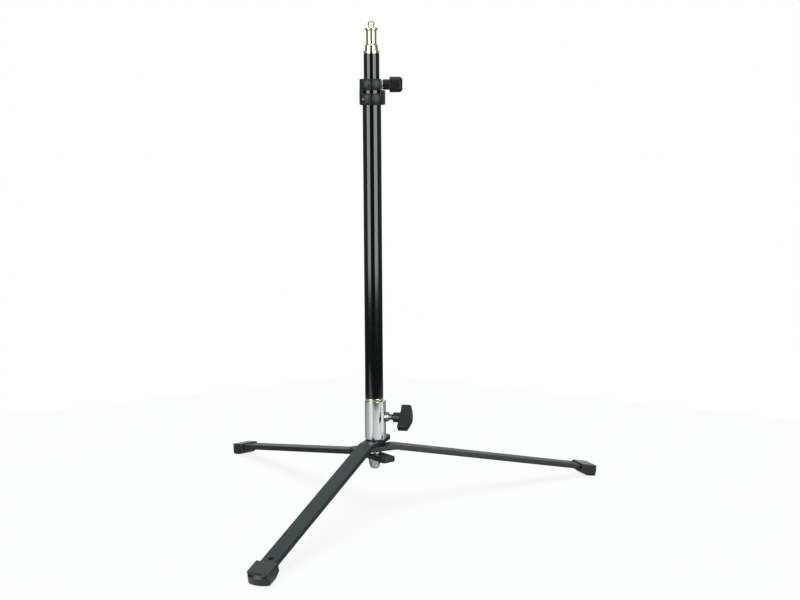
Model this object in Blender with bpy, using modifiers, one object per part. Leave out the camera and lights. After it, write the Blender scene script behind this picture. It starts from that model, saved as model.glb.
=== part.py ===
"""Two-section light stand: three flat steel legs stacked on one pivot bolt under a chromed
receiver socket, and a column of two sliding tubes with a clamp collar and a 16 mm brass stud.

Metres, +Z up. The floor is z = 0 and the origin is the middle of the footprint's box.
The legs fan out from the column's axis: the front leg points along -Y.
"""
import math

import bmesh
import bpy
from mathutils import Matrix, Vector

MM = 0.001

# Clearance between touching pieces
GAP = 0.3 * MM

# Base: reach of the feet, height of the hub, and how the legs fan out (degrees from +X)
FOOT_REACH = 321.0 * MM
RECEIVER_BOTTOM = 84.0 * MM
FRONT_LEG_AZIMUTH = 270.0
RIGHT_LEG_AZIMUTH = 46.0
LEFT_LEG_AZIMUTH = 150.4

# Legs: flat bar, bent down just outside the hub, with a short tail past the pivot
LEG_WIDTH = 20.0 * MM
LEG_THICKNESS = 6.5 * MM
LEG_EDGE_ROUND = 1.1 * MM
LEG_TAIL = 32.0 * MM
LEG_TAIL_ROUND = 5.0 * MM
LEG_BEND_AT = 27.5 * MM
LEG_BEND_RADIUS = 26.0 * MM
LEG_HOLE_RADIUS = 2.7 * MM
LEG_HOLE_INBOARD = 9.0 * MM

# Feet: moulded caps pushed over the leg ends
FOOT_LENGTH = 24.3 * MM
FOOT_WIDTH = 27.0 * MM
FOOT_END_WALL = 4.0 * MM
FOOT_LID = 1.4 * MM
FOOT_SOLE = 6.9 * MM
FOOT_HEEL_WALL = 1.4 * MM
FOOT_HEEL_LENGTH = 11.0 * MM
FOOT_NOSE = 4.0 * MM
FOOT_NOSE_LEDGE = 2.6 * MM
FOOT_CORNER = 3.0 * MM
FOOT_FLAT_DEPTH = 1.2 * MM
FOOT_BOTTOM_ROUND = 2.2 * MM

# Pivot: one bolt down through the receiver's floor and the three legs
BOLT_RADIUS = 4.0 * MM
BOLT_HEAD_RADIUS = 6.5 * MM
BOLT_HEAD_HEIGHT = 7.0 * MM
BOLT_KEY_RADIUS = 3.4 * MM
BOLT_KEY_DEPTH = 3.6 * MM
LEG_WASHER_RADIUS = 8.2 * MM
UPPER_WASHER_THICKNESS = 1.2 * MM
LOWER_WASHER_THICKNESS = 2.4 * MM
NUT_WASHER_RADIUS = 8.4 * MM
NUT_WASHER_THICKNESS = 1.5 * MM
NUT_ACROSS_FLATS = 13.0 * MM
NUT_HEX_HEIGHT = 6.3 * MM
NUT_CAP_HEIGHT = 5.0 * MM
NUT_CAP_RADIUS = 6.2 * MM
NUT_CAP_ROUND = 3.4 * MM
NUT_BORE_DEPTH = 9.0 * MM

# Receiver: a socket for a 16 mm pin, thickened to a flat pad on the knob's side
PIN_RADIUS = 8.0 * MM
RECEIVER_HEIGHT = 50.5 * MM
RECEIVER_RADIUS = 12.1 * MM
RECEIVER_FLOOR = 6.0 * MM
RECEIVER_PAD_REACH = 14.0 * MM
RECEIVER_PAD_WIDTH = 12.0 * MM
RECEIVER_CHAMFER = 0.8 * MM
RECEIVER_BASE_ROUND = 1.8 * MM
RECEIVER_KNOB_HEIGHT = 29.8 * MM
RECEIVER_KNOB_AZIMUTH = 8.0

# Receiver knob: a screw with a T-shaped handle and a soft pad at its tip
RECEIVER_SCREW_RADIUS = 3.9 * MM
RECEIVER_PAD_THICKNESS = 2.4 * MM
BOSS_RADIUS = 6.2 * MM
BOSS_LENGTH = 5.0 * MM
RECEIVER_HUB_START = 25.0 * MM
RECEIVER_HUB_LENGTH = 9.0 * MM
RECEIVER_HUB_RADIUS = 6.35 * MM
WING_HALF_LENGTH = 18.0 * MM
WING_WIDTH = 12.5 * MM
WING_END_THICKNESS = 12.2 * MM
WING_MIDDLE_THICKNESS = 15.4 * MM
WING_SWEEP = -0.8 * MM
WING_CORNER = 1.8 * MM
WING_EDGE_ROUND = 1.3 * MM
WING_TURN = -50.0
WING_END_WIDTH = 9.0 * MM

# Column: outer tube on a brass spigot
TUBE_RADIUS = 11.5 * MM
TUBE_WALL = 1.1 * MM
TUBE_LENGTH = 386.4 * MM
SPIGOT_FLANGE = 3.5 * MM
SPIGOT_TENON = 27.0 * MM
SPIGOT_PIN_CLEARANCE = 1.2 * MM
SPIGOT_CHAMFER = 1.0 * MM

# Collar on the tube's top end: a lower band on the tube, a window, and a clamping band
COLLAR_BELOW_TUBE_TOP = 18.5 * MM
COLLAR_LOWER_RADIUS = 15.3 * MM
COLLAR_UPPER_RADIUS = 15.0 * MM
COLLAR_LOWER_BAND = 14.2 * MM
COLLAR_WINDOW = 3.6 * MM
COLLAR_WINDOW_HALF_WIDTH = 10.5 * MM
COLLAR_UPPER_BAND = 14.1 * MM
COLLAR_EDGE_ROUND = 1.2 * MM
COLLAR_STEP = 1.2 * MM
COLLAR_FLAT_REACH = 11.4 * MM
COLLAR_LUG_REACH = 16.6 * MM
COLLAR_LUG_WIDTH = 13.0 * MM
COLLAR_SLIT_WIDTH = 1.4 * MM
COLLAR_BRIDGE_HEIGHT = 2.0 * MM
COLLAR_AZIMUTH = 22.0
GUIDE_RING_HEIGHT = 2.2 * MM
COLLAR_SCREW_RADIUS = 1.5 * MM
COLLAR_SCREW_PROUD = 0.3 * MM
COLLAR_SCREW_TURN = 224.0
COLLAR_SCREW_KEY_RADIUS = 0.8 * MM
COLLAR_SCREW_KEY_DEPTH = 1.2 * MM

# Collar knob: a screw with a chamfered square head and a brass shoe at its tip
COLLAR_SPINDLE_RADIUS = 3.0 * MM
SHOE_THICKNESS = 1.6 * MM
COLLAR_KNOB_WASHER_THICKNESS = 1.7 * MM
COLLAR_KNOB_WASHER_RADIUS = 6.2 * MM
COLLAR_HUB_RADIUS = 6.45 * MM
COLLAR_HUB_LENGTH = 8.2 * MM
COLLAR_HEAD_LENGTH = 15.9 * MM
COLLAR_HEAD_HALF_WIDTH = 9.45 * MM
COLLAR_HEAD_CHAMFER = 3.6 * MM
COLLAR_HEAD_END_CHAMFER = 2.2 * MM
COLLAR_KNOB_TURN = 0.0

# Inner tube with its guide plug, and the stud on top
INNER_RADIUS = 9.7 * MM
INNER_WALL = 1.2 * MM
INNER_LENGTH = 365.0 * MM
INNER_SHOWING = 30.7 * MM
GUIDE_PLUG_LENGTH = 15.0 * MM
GUIDE_RIM_HEIGHT = 8.0 * MM
GUIDE_RIM_CLEARANCE = 0.25 * MM
GUIDE_PLUG_WALL = 3.0 * MM
STUD_SHOULDER = 2.9 * MM
STUD_BODY = 7.3 * MM
STUD_GROOVE = 16.6 * MM
STUD_GROOVE_RADIUS = 6.4 * MM
STUD_GROOVE_TAPER = 1.8 * MM
STUD_FLANGE = 1.5 * MM
STUD_CROWN = 1.0 * MM
STUD_NECK_RADIUS = 3.4 * MM
STUD_NECK = 2.1 * MM
STUD_TIP_RADIUS = 4.2 * MM
STUD_TIP = 5.6 * MM
STUD_TENON = 24.0 * MM

ROUND_STEPS = 40
SMALL_STEPS = 24

# Levels that follow from the sizes above
LEG_WASHERS = [UPPER_WASHER_THICKNESS, LOWER_WASHER_THICKNESS]
LEG_TOPS = [RECEIVER_BOTTOM - GAP]
for washer in LEG_WASHERS:
    LEG_TOPS.append(LEG_TOPS[-1] - LEG_THICKNESS - washer - 2 * GAP)
NUT_WASHER_TOP = LEG_TOPS[2] - LEG_THICKNESS - GAP
NUT_TOP = NUT_WASHER_TOP - NUT_WASHER_THICKNESS - GAP
RECEIVER_TOP = RECEIVER_BOTTOM + RECEIVER_HEIGHT
BOLT_HEAD_BOTTOM = RECEIVER_BOTTOM + RECEIVER_FLOOR + GAP
SPIGOT_BOTTOM = BOLT_HEAD_BOTTOM + BOLT_HEAD_HEIGHT + SPIGOT_PIN_CLEARANCE
TUBE_BOTTOM = RECEIVER_TOP + SPIGOT_FLANGE + 2 * GAP
TUBE_TOP = TUBE_BOTTOM + TUBE_LENGTH
TUBE_BORE = TUBE_RADIUS - TUBE_WALL
COLLAR_BOTTOM = TUBE_TOP - COLLAR_BELOW_TUBE_TOP
WINDOW_BOTTOM = COLLAR_BOTTOM + COLLAR_LOWER_BAND
WINDOW_TOP = WINDOW_BOTTOM + COLLAR_WINDOW
COLLAR_TOP = WINDOW_TOP + COLLAR_UPPER_BAND
GUIDE_RING_TOP = TUBE_TOP + GAP + GUIDE_RING_HEIGHT
COLLAR_KNOB_HEIGHT = (WINDOW_TOP + COLLAR_TOP) / 2
INNER_TOP = COLLAR_TOP + INNER_SHOWING
INNER_BOTTOM = INNER_TOP - INNER_LENGTH
INNER_BORE = INNER_RADIUS - INNER_WALL
HOLE_RADIUS = BOLT_RADIUS + GAP


def clear_scene():
    for item in list(bpy.data.objects):
        bpy.data.objects.remove(item)


def new_collection(name):
    group = bpy.data.collections.new(name)
    bpy.context.scene.collection.children.link(group)
    return group


def finish(name, colour, roughness, metallic):
    """A plain Principled material for one kind of surface."""
    material = bpy.data.materials.new(name)
    material.use_nodes = True
    shader = material.node_tree.nodes["Principled BSDF"]
    shader.inputs["Base Color"].default_value = (*colour, 1.0)
    shader.inputs["Roughness"].default_value = roughness
    shader.inputs["Metallic"].default_value = metallic
    return material


clear_scene()
STAND = new_collection("light_stand")
CUTTERS = new_collection("cutters")

POWDER_COAT = finish("dark_powder_coat", (0.075, 0.085, 0.085), 0.45, 0.2)
GLOSS_BLACK = finish("gloss_black_tube", (0.012, 0.012, 0.013), 0.12, 0.3)
BLACK_PLASTIC = finish("black_plastic", (0.025, 0.027, 0.027), 0.42, 0.0)
RUBBER = finish("black_rubber", (0.035, 0.037, 0.037), 0.6, 0.0)
CHROME = finish("satin_chrome", (0.72, 0.72, 0.73), 0.22, 1.0)
ZINC = finish("zinc_plate", (0.62, 0.66, 0.63), 0.35, 1.0)
BRASS = finish("pale_brass", (0.83, 0.75, 0.46), 0.2, 1.0)
NYLON = finish("white_nylon", (0.8, 0.79, 0.75), 0.5, 0.0)


def new_empty(name, location=(0, 0, 0), turn=0.0, parent=None):
    empty = bpy.data.objects.new(name, None)
    empty.location = location
    empty.rotation_euler = (0, 0, math.radians(turn))
    empty.parent = parent
    STAND.objects.link(empty)
    return empty


ROOT = new_empty("stand_axis")
COLUMN = new_empty("column_axis", turn=COLLAR_AZIMUTH, parent=ROOT)


def place(mesh, name, material, parent=None, location=(0, 0, 0), rotation=(0, 0, 0), group=None):
    """Link a mesh as an object; angles are in degrees."""
    body = bpy.data.objects.new(name, mesh)
    body.location = location
    body.rotation_euler = [math.radians(angle) for angle in rotation]
    body.parent = parent or ROOT
    if material:
        mesh.materials.append(material)
    (group or STAND).objects.link(body)
    return body


def as_tool(body):
    """Turn an object into a hidden cutter or guide."""
    body.hide_render = True
    body.display_type = 'WIRE'
    return body


def smooth(mesh, angle=35.0):
    mesh.shade_smooth()
    mesh.set_sharp_from_angle(angle=math.radians(angle))


def turned(name, profile, material, steps=ROUND_STEPS, **where):
    """Spin a profile of (radius, height) points about Z; it runs down the outer side."""
    mesh = bpy.data.meshes.new(name)
    shape = bmesh.new()
    points = [shape.verts.new((radius, 0, height)) for radius, height in profile]
    for first, second in zip(points, points[1:]):
        shape.edges.new((first, second))
    if profile[0][0] > 0:
        shape.edges.new((points[-1], points[0]))
    shape.to_mesh(mesh)
    shape.free()
    body = place(mesh, name, material, **where)
    spin = body.modifiers.new("spin", 'SCREW')
    spin.axis = 'Z'
    spin.angle = math.tau
    spin.steps = steps
    spin.render_steps = steps
    spin.use_merge_vertices = True
    spin.merge_threshold = 0.00001
    spin.use_smooth_shade = True
    bake(body)
    return body


def bake(body):
    """Replace a built object's mesh by its evaluated one, so that later steps can edit it."""
    bpy.context.view_layer.update()
    shaped = body.evaluated_get(bpy.context.evaluated_depsgraph_get())
    mesh = bpy.data.meshes.new_from_object(shaped)
    mesh.name = body.name
    body.modifiers.clear()
    body.data = mesh
    smooth(mesh)


def ring(outer, inner, low, high, chamfer=0.0):
    """Profile of a plain ring or tube, chamfered on its outer edges."""
    if chamfer:
        return [(inner, high), (outer - chamfer, high), (outer, high - chamfer),
                (outer, low + chamfer), (outer - chamfer, low), (inner, low)]
    return [(inner, high), (outer, high), (outer, low), (inner, low)]


def arc(centre, radius, start, end, steps):
    """Points of an arc in the profile plane, from one angle to another in degrees."""
    angles = [math.radians(start + (end - start) * step / steps) for step in range(steps + 1)]
    return [(centre[0] + radius * math.cos(a), centre[1] + radius * math.sin(a)) for a in angles]


def plate(name, outline, thickness, material, **where):
    """Extrude a flat outline in its local XY plane, half to each side."""
    curve = bpy.data.curves.new(name, 'CURVE')
    curve.dimensions = '2D'
    curve.fill_mode = 'BOTH'
    curve.extrude = thickness / 2
    spline = curve.splines.new('POLY')
    spline.points.add(len(outline) - 1)
    for point, (x, y) in zip(spline.points, outline):
        point.co = (x, y, 0, 1)
    spline.use_cyclic_u = True
    sketch = bpy.data.objects.new(name + "_sketch", curve)
    STAND.objects.link(sketch)
    bpy.context.view_layer.update()
    mesh = bpy.data.meshes.new_from_object(sketch.evaluated_get(bpy.context.evaluated_depsgraph_get()))
    bpy.data.objects.remove(sketch)
    shape = bmesh.new()
    shape.from_mesh(mesh)
    bmesh.ops.remove_doubles(shape, verts=shape.verts, dist=0.000002)
    bmesh.ops.dissolve_limit(shape, angle_limit=math.radians(0.3), verts=shape.verts, edges=shape.edges)
    bmesh.ops.recalc_face_normals(shape, faces=shape.faces)
    shape.to_mesh(mesh)
    shape.free()
    mesh.name = name
    smooth(mesh)
    return place(mesh, name, material, **where)


def block(name, low, high, material=None, **where):
    """A box between two corners of its local frame."""
    mesh = bpy.data.meshes.new(name)
    shape = bmesh.new()
    bmesh.ops.create_cube(shape, size=1.0)
    size = Vector(high) - Vector(low)
    middle = (Vector(high) + Vector(low)) / 2
    stretch = Matrix.Translation(middle) @ Matrix.Diagonal((*size, 1))
    bmesh.ops.transform(shape, verts=shape.verts, matrix=stretch)
    shape.to_mesh(mesh)
    shape.free()
    return place(mesh, name, material, **where)


def rod_tool(name, radius, start, end, steps=SMALL_STEPS, **where):
    """A hidden cylinder along local Z from start to end, for cutting holes."""
    mesh = bpy.data.meshes.new(name)
    shape = bmesh.new()
    bmesh.ops.create_cone(shape, cap_ends=True, segments=steps, radius1=radius, radius2=radius,
                          depth=end - start)
    bmesh.ops.translate(shape, verts=shape.verts, vec=(0, 0, (start + end) / 2))
    shape.to_mesh(mesh)
    shape.free()
    return as_tool(place(mesh, name, None, group=CUTTERS, **where))


def round_edges(body, width, segments=2, angle=35.0):
    bevel = body.modifiers.new("rounded_edges", 'BEVEL')
    bevel.width = width
    bevel.segments = segments
    bevel.limit_method = 'ANGLE'
    bevel.angle_limit = math.radians(angle)
    bevel.use_clamp_overlap = True
    return body


def round_uprights(body, radius, chosen, segments=4):
    """Round the edges whose two ends both satisfy chosen(point), in the mesh itself."""
    shape = bmesh.new()
    shape.from_mesh(body.data)
    edges = [edge for edge in shape.edges if all(chosen(vert.co) for vert in edge.verts)]
    bmesh.ops.bevel(shape, geom=edges, offset=radius, segments=segments, profile=0.5, affect='EDGES')
    shape.to_mesh(body.data)
    shape.free()
    return body


def combine(body, tool, operation):
    boolean = body.modifiers.new(operation.lower() + "_" + tool.name, 'BOOLEAN')
    boolean.operation = operation
    boolean.solver = 'EXACT'
    boolean.object = tool
    return body


def cut(body, tool):
    return combine(body, tool, 'DIFFERENCE')


def fuse(body, tool):
    """Add a second shape to a body; the second one stays hidden."""
    if tool.name in STAND.objects:
        STAND.objects.unlink(tool)
        CUTTERS.objects.link(tool)
    return combine(body, as_tool(tool), 'UNION')


def leg_slope(top):
    """Slope that carries a leg from its hub level down to a foot at the common reach."""
    depth = GAP + LEG_THICKNESS + FOOT_SOLE
    slope = 0.2
    for _ in range(12):
        run = FOOT_REACH + depth * math.sin(slope) - LEG_BEND_AT
        drop = top - (depth * math.cos(slope) - FOOT_FLAT_DEPTH)
        slope = math.atan2(drop, run)
    return slope


def leg_end(slope):
    """Where the leg's top surface ends, inside its cap: distance from the axis, and height."""
    depth = GAP + LEG_THICKNESS + FOOT_SOLE
    outer = Vector((FOOT_REACH + depth * math.sin(slope), depth * math.cos(slope) - FOOT_FLAT_DEPTH))
    along = Vector((math.cos(slope), -math.sin(slope)))
    return outer - along * (FOOT_END_WALL + GAP)


def leg_outline(top, slope):
    """Side view of a bent bar: the top line out to the end, and back along the underside."""
    tangent = LEG_BEND_RADIUS * math.tan(slope / 2)
    centre = (LEG_BEND_AT - tangent, top - LEG_BEND_RADIUS)
    start, end = 90.0, 90.0 - math.degrees(slope)
    end_point = leg_end(slope)
    normal = Vector((math.sin(slope), math.cos(slope)))
    upper = [(-LEG_TAIL, top)] + arc(centre, LEG_BEND_RADIUS, start, end, 6) + [tuple(end_point)]
    lower = [tuple(end_point - normal * LEG_THICKNESS)]
    lower += arc(centre, LEG_BEND_RADIUS - LEG_THICKNESS, end, start, 6)
    lower += [(-LEG_TAIL, top - LEG_THICKNESS)]
    return upper + lower


def build_leg(side, azimuth, top):
    """One leg with its cap. Local X points outward along the leg, local Z is up."""
    axis = new_empty(side + "_leg_axis", turn=azimuth, parent=ROOT)
    slope = leg_slope(top)
    leg = plate(side + "_leg", leg_outline(top, slope), LEG_WIDTH, POWDER_COAT,
                parent=axis, rotation=(90, 0, 0))
    round_uprights(leg, LEG_TAIL_ROUND, lambda point: point.x < -LEG_TAIL + GAP
                   and abs(abs(point.z) - LEG_WIDTH / 2) < GAP)
    round_edges(leg, LEG_EDGE_ROUND)
    cut(leg, rod_tool(side + "_pivot_hole", HOLE_RADIUS, top - 2 * LEG_THICKNESS, top + LEG_THICKNESS,
                      parent=axis))
    end = leg_end(slope)
    tilt = math.degrees(slope)
    inboard = FOOT_LENGTH - FOOT_END_WALL - GAP + LEG_HOLE_INBOARD
    hole = (end.x - inboard * math.cos(slope), 0, end.y + inboard * math.sin(slope))
    cut(leg, rod_tool(side + "_leg_hole", LEG_HOLE_RADIUS, -2 * LEG_THICKNESS, LEG_THICKNESS,
                      steps=16, parent=axis, location=hole, rotation=(0, tilt, 0)))
    build_foot(side, axis, end, tilt)


def nose_outline():
    """Plan of the cap's lower part: straight sides and a bowed end with soft corners."""
    half = FOOT_WIDTH / 2
    straight_end = FOOT_END_WALL + GAP
    back = straight_end - FOOT_LENGTH
    points = [(back, half), (back, -half)]
    for step in range(-8, 9):
        across = math.sin(math.radians(90 * step / 8))
        bow = FOOT_NOSE * (1 - across ** 2) - FOOT_CORNER * abs(across) ** 8
        points.append((straight_end + bow, half * across))
    return points


def build_foot(side, axis, end, tilt):
    """Moulded cap, parallel to the leg, with a flat worn onto its sole where it stands."""
    where = {"parent": axis, "location": (end.x, 0, end.y), "rotation": (0, tilt, 0)}
    straight_end = FOOT_END_WALL + GAP
    back = straight_end - FOOT_LENGTH
    lid_top = GAP + FOOT_LID
    bottom = -(LEG_THICKNESS + GAP + FOOT_SOLE)
    ledge = lid_top - FOOT_NOSE_LEDGE
    middle = (bottom + ledge) / 2
    lift = Matrix.Translation((0, 0, middle))
    foot = plate(side + "_foot", nose_outline(), ledge - bottom, RUBBER, **where)
    foot.data.transform(lift)
    round_uprights(foot, FOOT_BOTTOM_ROUND, lambda point: abs(point.z - bottom) < GAP / 2
                   and point.x > back - GAP, segments=3)
    round_edges(foot, 0.9 * MM, angle=50.0)
    lid = block(side + "_foot_lid", (back, -FOOT_WIDTH / 2, ledge - FOOT_NOSE_LEDGE),
                (straight_end, FOOT_WIDTH / 2, lid_top), **where)
    round_uprights(lid, 1.2 * MM, lambda point: abs(point.x - straight_end) < GAP)
    round_edges(lid, 0.7 * MM)
    fuse(foot, lid)
    room = block(side + "_foot_socket", (back - LEG_WIDTH, -LEG_WIDTH / 2 - GAP, -LEG_THICKNESS - GAP),
                 (GAP, LEG_WIDTH / 2 + GAP, GAP), group=CUTTERS, **where)
    cut(foot, as_tool(room))
    mouth_bottom = -(LEG_THICKNESS + GAP + FOOT_HEEL_WALL)
    heel = plate(side + "_foot_heel", [(back - GAP, mouth_bottom), (back - GAP, bottom - FOOT_SOLE),
                                       (back + FOOT_HEEL_LENGTH + FOOT_SOLE, bottom - FOOT_SOLE),
                                       (back + FOOT_HEEL_LENGTH, bottom)], 2 * FOOT_WIDTH, None,
                 group=CUTTERS, **where)
    heel.data.transform(Matrix.Rotation(math.radians(90), 4, 'X'))
    cut(foot, as_tool(heel))
    floor = block(side + "_floor", (FOOT_REACH - 2 * FOOT_LENGTH, -FOOT_WIDTH, -FOOT_WIDTH),
                  (FOOT_REACH + 2 * FOOT_LENGTH, FOOT_WIDTH, 0), group=CUTTERS, parent=axis)
    cut(foot, as_tool(floor))


def build_pivot():
    """Bolt, washers and cap nut that hold the leg stack under the receiver."""
    head_top = BOLT_HEAD_BOTTOM + BOLT_HEAD_HEIGHT
    bolt_end = NUT_TOP - NUT_BORE_DEPTH + 2 * GAP
    bolt = turned("pivot_bolt", [(0, head_top), (BOLT_HEAD_RADIUS - 0.6 * MM, head_top),
                                 (BOLT_HEAD_RADIUS, head_top - 0.6 * MM),
                                 (BOLT_HEAD_RADIUS, BOLT_HEAD_BOTTOM),
                                 (BOLT_RADIUS, BOLT_HEAD_BOTTOM), (BOLT_RADIUS, bolt_end + 0.8 * MM),
                                 (BOLT_RADIUS - 0.8 * MM, bolt_end), (0, bolt_end)], ZINC)
    cut(bolt, rod_tool("bolt_key", BOLT_KEY_RADIUS, head_top - BOLT_KEY_DEPTH, head_top + GAP, steps=6))
    for name, leg in (("upper_leg_washer", 0), ("lower_leg_washer", 1)):
        high = LEG_TOPS[leg] - LEG_THICKNESS - GAP
        turned(name, ring(LEG_WASHER_RADIUS, HOLE_RADIUS, high - LEG_WASHERS[leg], high, 0.3 * MM), ZINC)
    turned("nut_washer", ring(NUT_WASHER_RADIUS, HOLE_RADIUS, NUT_WASHER_TOP - NUT_WASHER_THICKNESS,
                              NUT_WASHER_TOP, 0.3 * MM), ZINC, SMALL_STEPS)
    corner = NUT_ACROSS_FLATS / 2 / math.cos(math.radians(30))
    hex_bottom = NUT_TOP - NUT_HEX_HEIGHT
    nut_bottom = hex_bottom - NUT_CAP_HEIGHT
    cap = [(NUT_CAP_RADIUS, hex_bottom)]
    cap += arc((NUT_CAP_RADIUS - NUT_CAP_ROUND, nut_bottom + NUT_CAP_ROUND), NUT_CAP_ROUND, 0, -90, 5)
    cap += [(0, nut_bottom)]
    nut = turned("pivot_nut", [(0, NUT_TOP), (corner - 0.6 * MM, NUT_TOP), (corner, NUT_TOP - 0.5 * MM),
                               (corner, hex_bottom + 0.7 * MM),
                               (NUT_CAP_RADIUS + 0.3 * MM, hex_bottom)] + cap, ZINC)
    combine(nut, rod_tool("nut_hexagon", corner, NUT_TOP - 2 * NUT_HEX_HEIGHT - NUT_CAP_HEIGHT,
                          NUT_TOP + NUT_HEX_HEIGHT, steps=6), 'INTERSECT')
    cut(nut, rod_tool("nut_bore", HOLE_RADIUS, NUT_TOP - NUT_BORE_DEPTH, NUT_TOP + GAP))


def build_receiver():
    """Socket body with its flat pad, and the threaded boss on the pad. Local X is the knob's side."""
    axis = new_empty("receiver_axis", turn=RECEIVER_KNOB_AZIMUTH, parent=ROOT)
    bore = PIN_RADIUS + GAP
    floor = RECEIVER_BOTTOM + RECEIVER_FLOOR
    c = RECEIVER_CHAMFER
    base = RECEIVER_BASE_ROUND
    foot_ring = arc((RECEIVER_RADIUS - base, RECEIVER_BOTTOM + base), base, 0, -90, 3)
    receiver = turned("receiver", [(bore + c, RECEIVER_TOP), (RECEIVER_RADIUS - c, RECEIVER_TOP),
                                   (RECEIVER_RADIUS, RECEIVER_TOP - c)] + foot_ring + [
                                       (HOLE_RADIUS, RECEIVER_BOTTOM), (HOLE_RADIUS, floor), (bore, floor),
                                       (bore, RECEIVER_TOP - c)], CHROME, parent=axis)
    wall_middle = (bore + RECEIVER_RADIUS) / 2
    pad = block("receiver_pad_rib", (wall_middle - GAP, -RECEIVER_PAD_WIDTH / 2, RECEIVER_BOTTOM + GAP),
                (RECEIVER_PAD_REACH, RECEIVER_PAD_WIDTH / 2, RECEIVER_TOP - GAP), parent=axis)
    round_edges(pad, 1.0 * MM)
    fuse(receiver, pad)
    height = RECEIVER_BOTTOM + RECEIVER_KNOB_HEIGHT
    across = {"parent": axis, "location": (0, 0, height), "rotation": (0, 90, 0)}
    cut(receiver, rod_tool("receiver_screw_hole", RECEIVER_SCREW_RADIUS + GAP, PIN_RADIUS / 2,
                           RECEIVER_PAD_REACH + BOSS_LENGTH, **across))
    low = RECEIVER_PAD_REACH + GAP
    turned("receiver_boss", [(RECEIVER_SCREW_RADIUS + GAP, low + BOSS_LENGTH),
                             (BOSS_RADIUS - 1.6 * MM, low + BOSS_LENGTH)]
           + arc((BOSS_RADIUS - 1.6 * MM, low + BOSS_LENGTH - 1.6 * MM), 1.6 * MM, 60, 0, 3)
           + [(BOSS_RADIUS, low + 0.6 * MM), (BOSS_RADIUS - 0.6 * MM, low),
              (RECEIVER_SCREW_RADIUS + GAP, low)],
           CHROME, SMALL_STEPS, **across)
    build_receiver_knob(across, axis, height)


def wing_outline():
    """Side view of the T-handle: a straight inner face and a bowed outer one."""
    end = WING_SWEEP + WING_END_THICKNESS
    outer = []
    for step in range(-6, 7):
        along = step / 6
        bow = (WING_MIDDLE_THICKNESS - end) * abs(along) ** 1.5
        outer.append((WING_MIDDLE_THICKNESS - bow, WING_HALF_LENGTH * along))
    neck = RECEIVER_HUB_RADIUS
    return outer + [(WING_SWEEP, WING_HALF_LENGTH), (0, neck), (0, -neck), (WING_SWEEP, -WING_HALF_LENGTH)]


def thin_towards_ends(knob):
    """Crease the wing across its middle and let each half thin towards its tip."""
    shape = bmesh.new()
    shape.from_mesh(knob.data)
    bmesh.ops.bisect_plane(shape, geom=shape.verts[:] + shape.edges[:] + shape.faces[:], dist=0.000001,
                           plane_co=(0, 0, 0), plane_no=(0, 0, 1))
    loss = 1 - WING_END_WIDTH / WING_WIDTH
    for vertex in shape.verts:
        vertex.co.y *= 1 - loss * abs(vertex.co.z) / WING_HALF_LENGTH
    shape.to_mesh(knob.data)
    shape.free()


def build_receiver_knob(across, axis, height):
    """Tip pad, screw and T-handle, all along local X of the receiver's axis."""
    tip = PIN_RADIUS + GAP
    screw_start = tip + RECEIVER_PAD_THICKNESS + GAP
    face = RECEIVER_HUB_START + RECEIVER_HUB_LENGTH
    pad_end = tip + RECEIVER_PAD_THICKNESS
    radius = RECEIVER_SCREW_RADIUS
    turned("receiver_pad", [(0, pad_end), (radius - GAP, pad_end), (radius - GAP, tip + 0.4 * MM),
                            (radius - 0.8 * MM, tip), (0, tip)], NYLON, SMALL_STEPS, **across)
    turned("receiver_screw", [(0, face), (radius, face), (radius, screw_start + 0.6 * MM),
                              (radius - 0.6 * MM, screw_start), (0, screw_start)],
           CHROME, SMALL_STEPS, **across)
    knob = plate("receiver_knob", wing_outline(), WING_WIDTH, BLACK_PLASTIC, parent=axis,
                 location=(face, 0, height))
    knob.data.transform(Matrix.Rotation(math.radians(90), 4, 'X'))
    knob.rotation_euler = (math.radians(WING_TURN), 0, 0)
    round_uprights(knob, WING_CORNER, lambda point: abs(point.z) > WING_HALF_LENGTH - GAP
                   and abs(abs(point.y) - WING_WIDTH / 2) < GAP, segments=3)
    thin_towards_ends(knob)
    round_edges(knob, WING_EDGE_ROUND, angle=40.0)
    hub_end = face + WING_END_THICKNESS / 2
    hub = turned("receiver_knob_hub", [(0, hub_end), (RECEIVER_HUB_RADIUS - 0.6 * MM, hub_end),
                                       (RECEIVER_HUB_RADIUS, face)]
                 + arc((RECEIVER_HUB_RADIUS - 1.2 * MM, RECEIVER_HUB_START + 1.2 * MM), 1.2 * MM, 0, -90, 3)
                 + [(0, RECEIVER_HUB_START)], None, SMALL_STEPS, **across)
    fuse(knob, hub)
    cut(knob, rod_tool("receiver_knob_bore", RECEIVER_SCREW_RADIUS + GAP, 0, face + GAP, **across))


def build_column():
    """Brass spigot and outer tube."""
    pin_top = RECEIVER_TOP + GAP
    flange_top = pin_top + SPIGOT_FLANGE
    tenon = TUBE_BORE - GAP
    tenon_top = flange_top + SPIGOT_TENON
    c = SPIGOT_CHAMFER
    turned("spigot", [(0, tenon_top), (tenon - c, tenon_top), (tenon, tenon_top - c), (tenon, flange_top),
                      (TUBE_RADIUS, flange_top), (TUBE_RADIUS, pin_top + 0.4 * MM),
                      (TUBE_RADIUS - 0.4 * MM, pin_top), (PIN_RADIUS, pin_top),
                      (PIN_RADIUS, SPIGOT_BOTTOM + c), (PIN_RADIUS - c, SPIGOT_BOTTOM),
                      (0, SPIGOT_BOTTOM)], BRASS, parent=COLUMN)
    turned("outer_tube", ring(TUBE_RADIUS, TUBE_BORE, TUBE_BOTTOM, TUBE_TOP), GLOSS_BLACK, parent=COLUMN)


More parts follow.
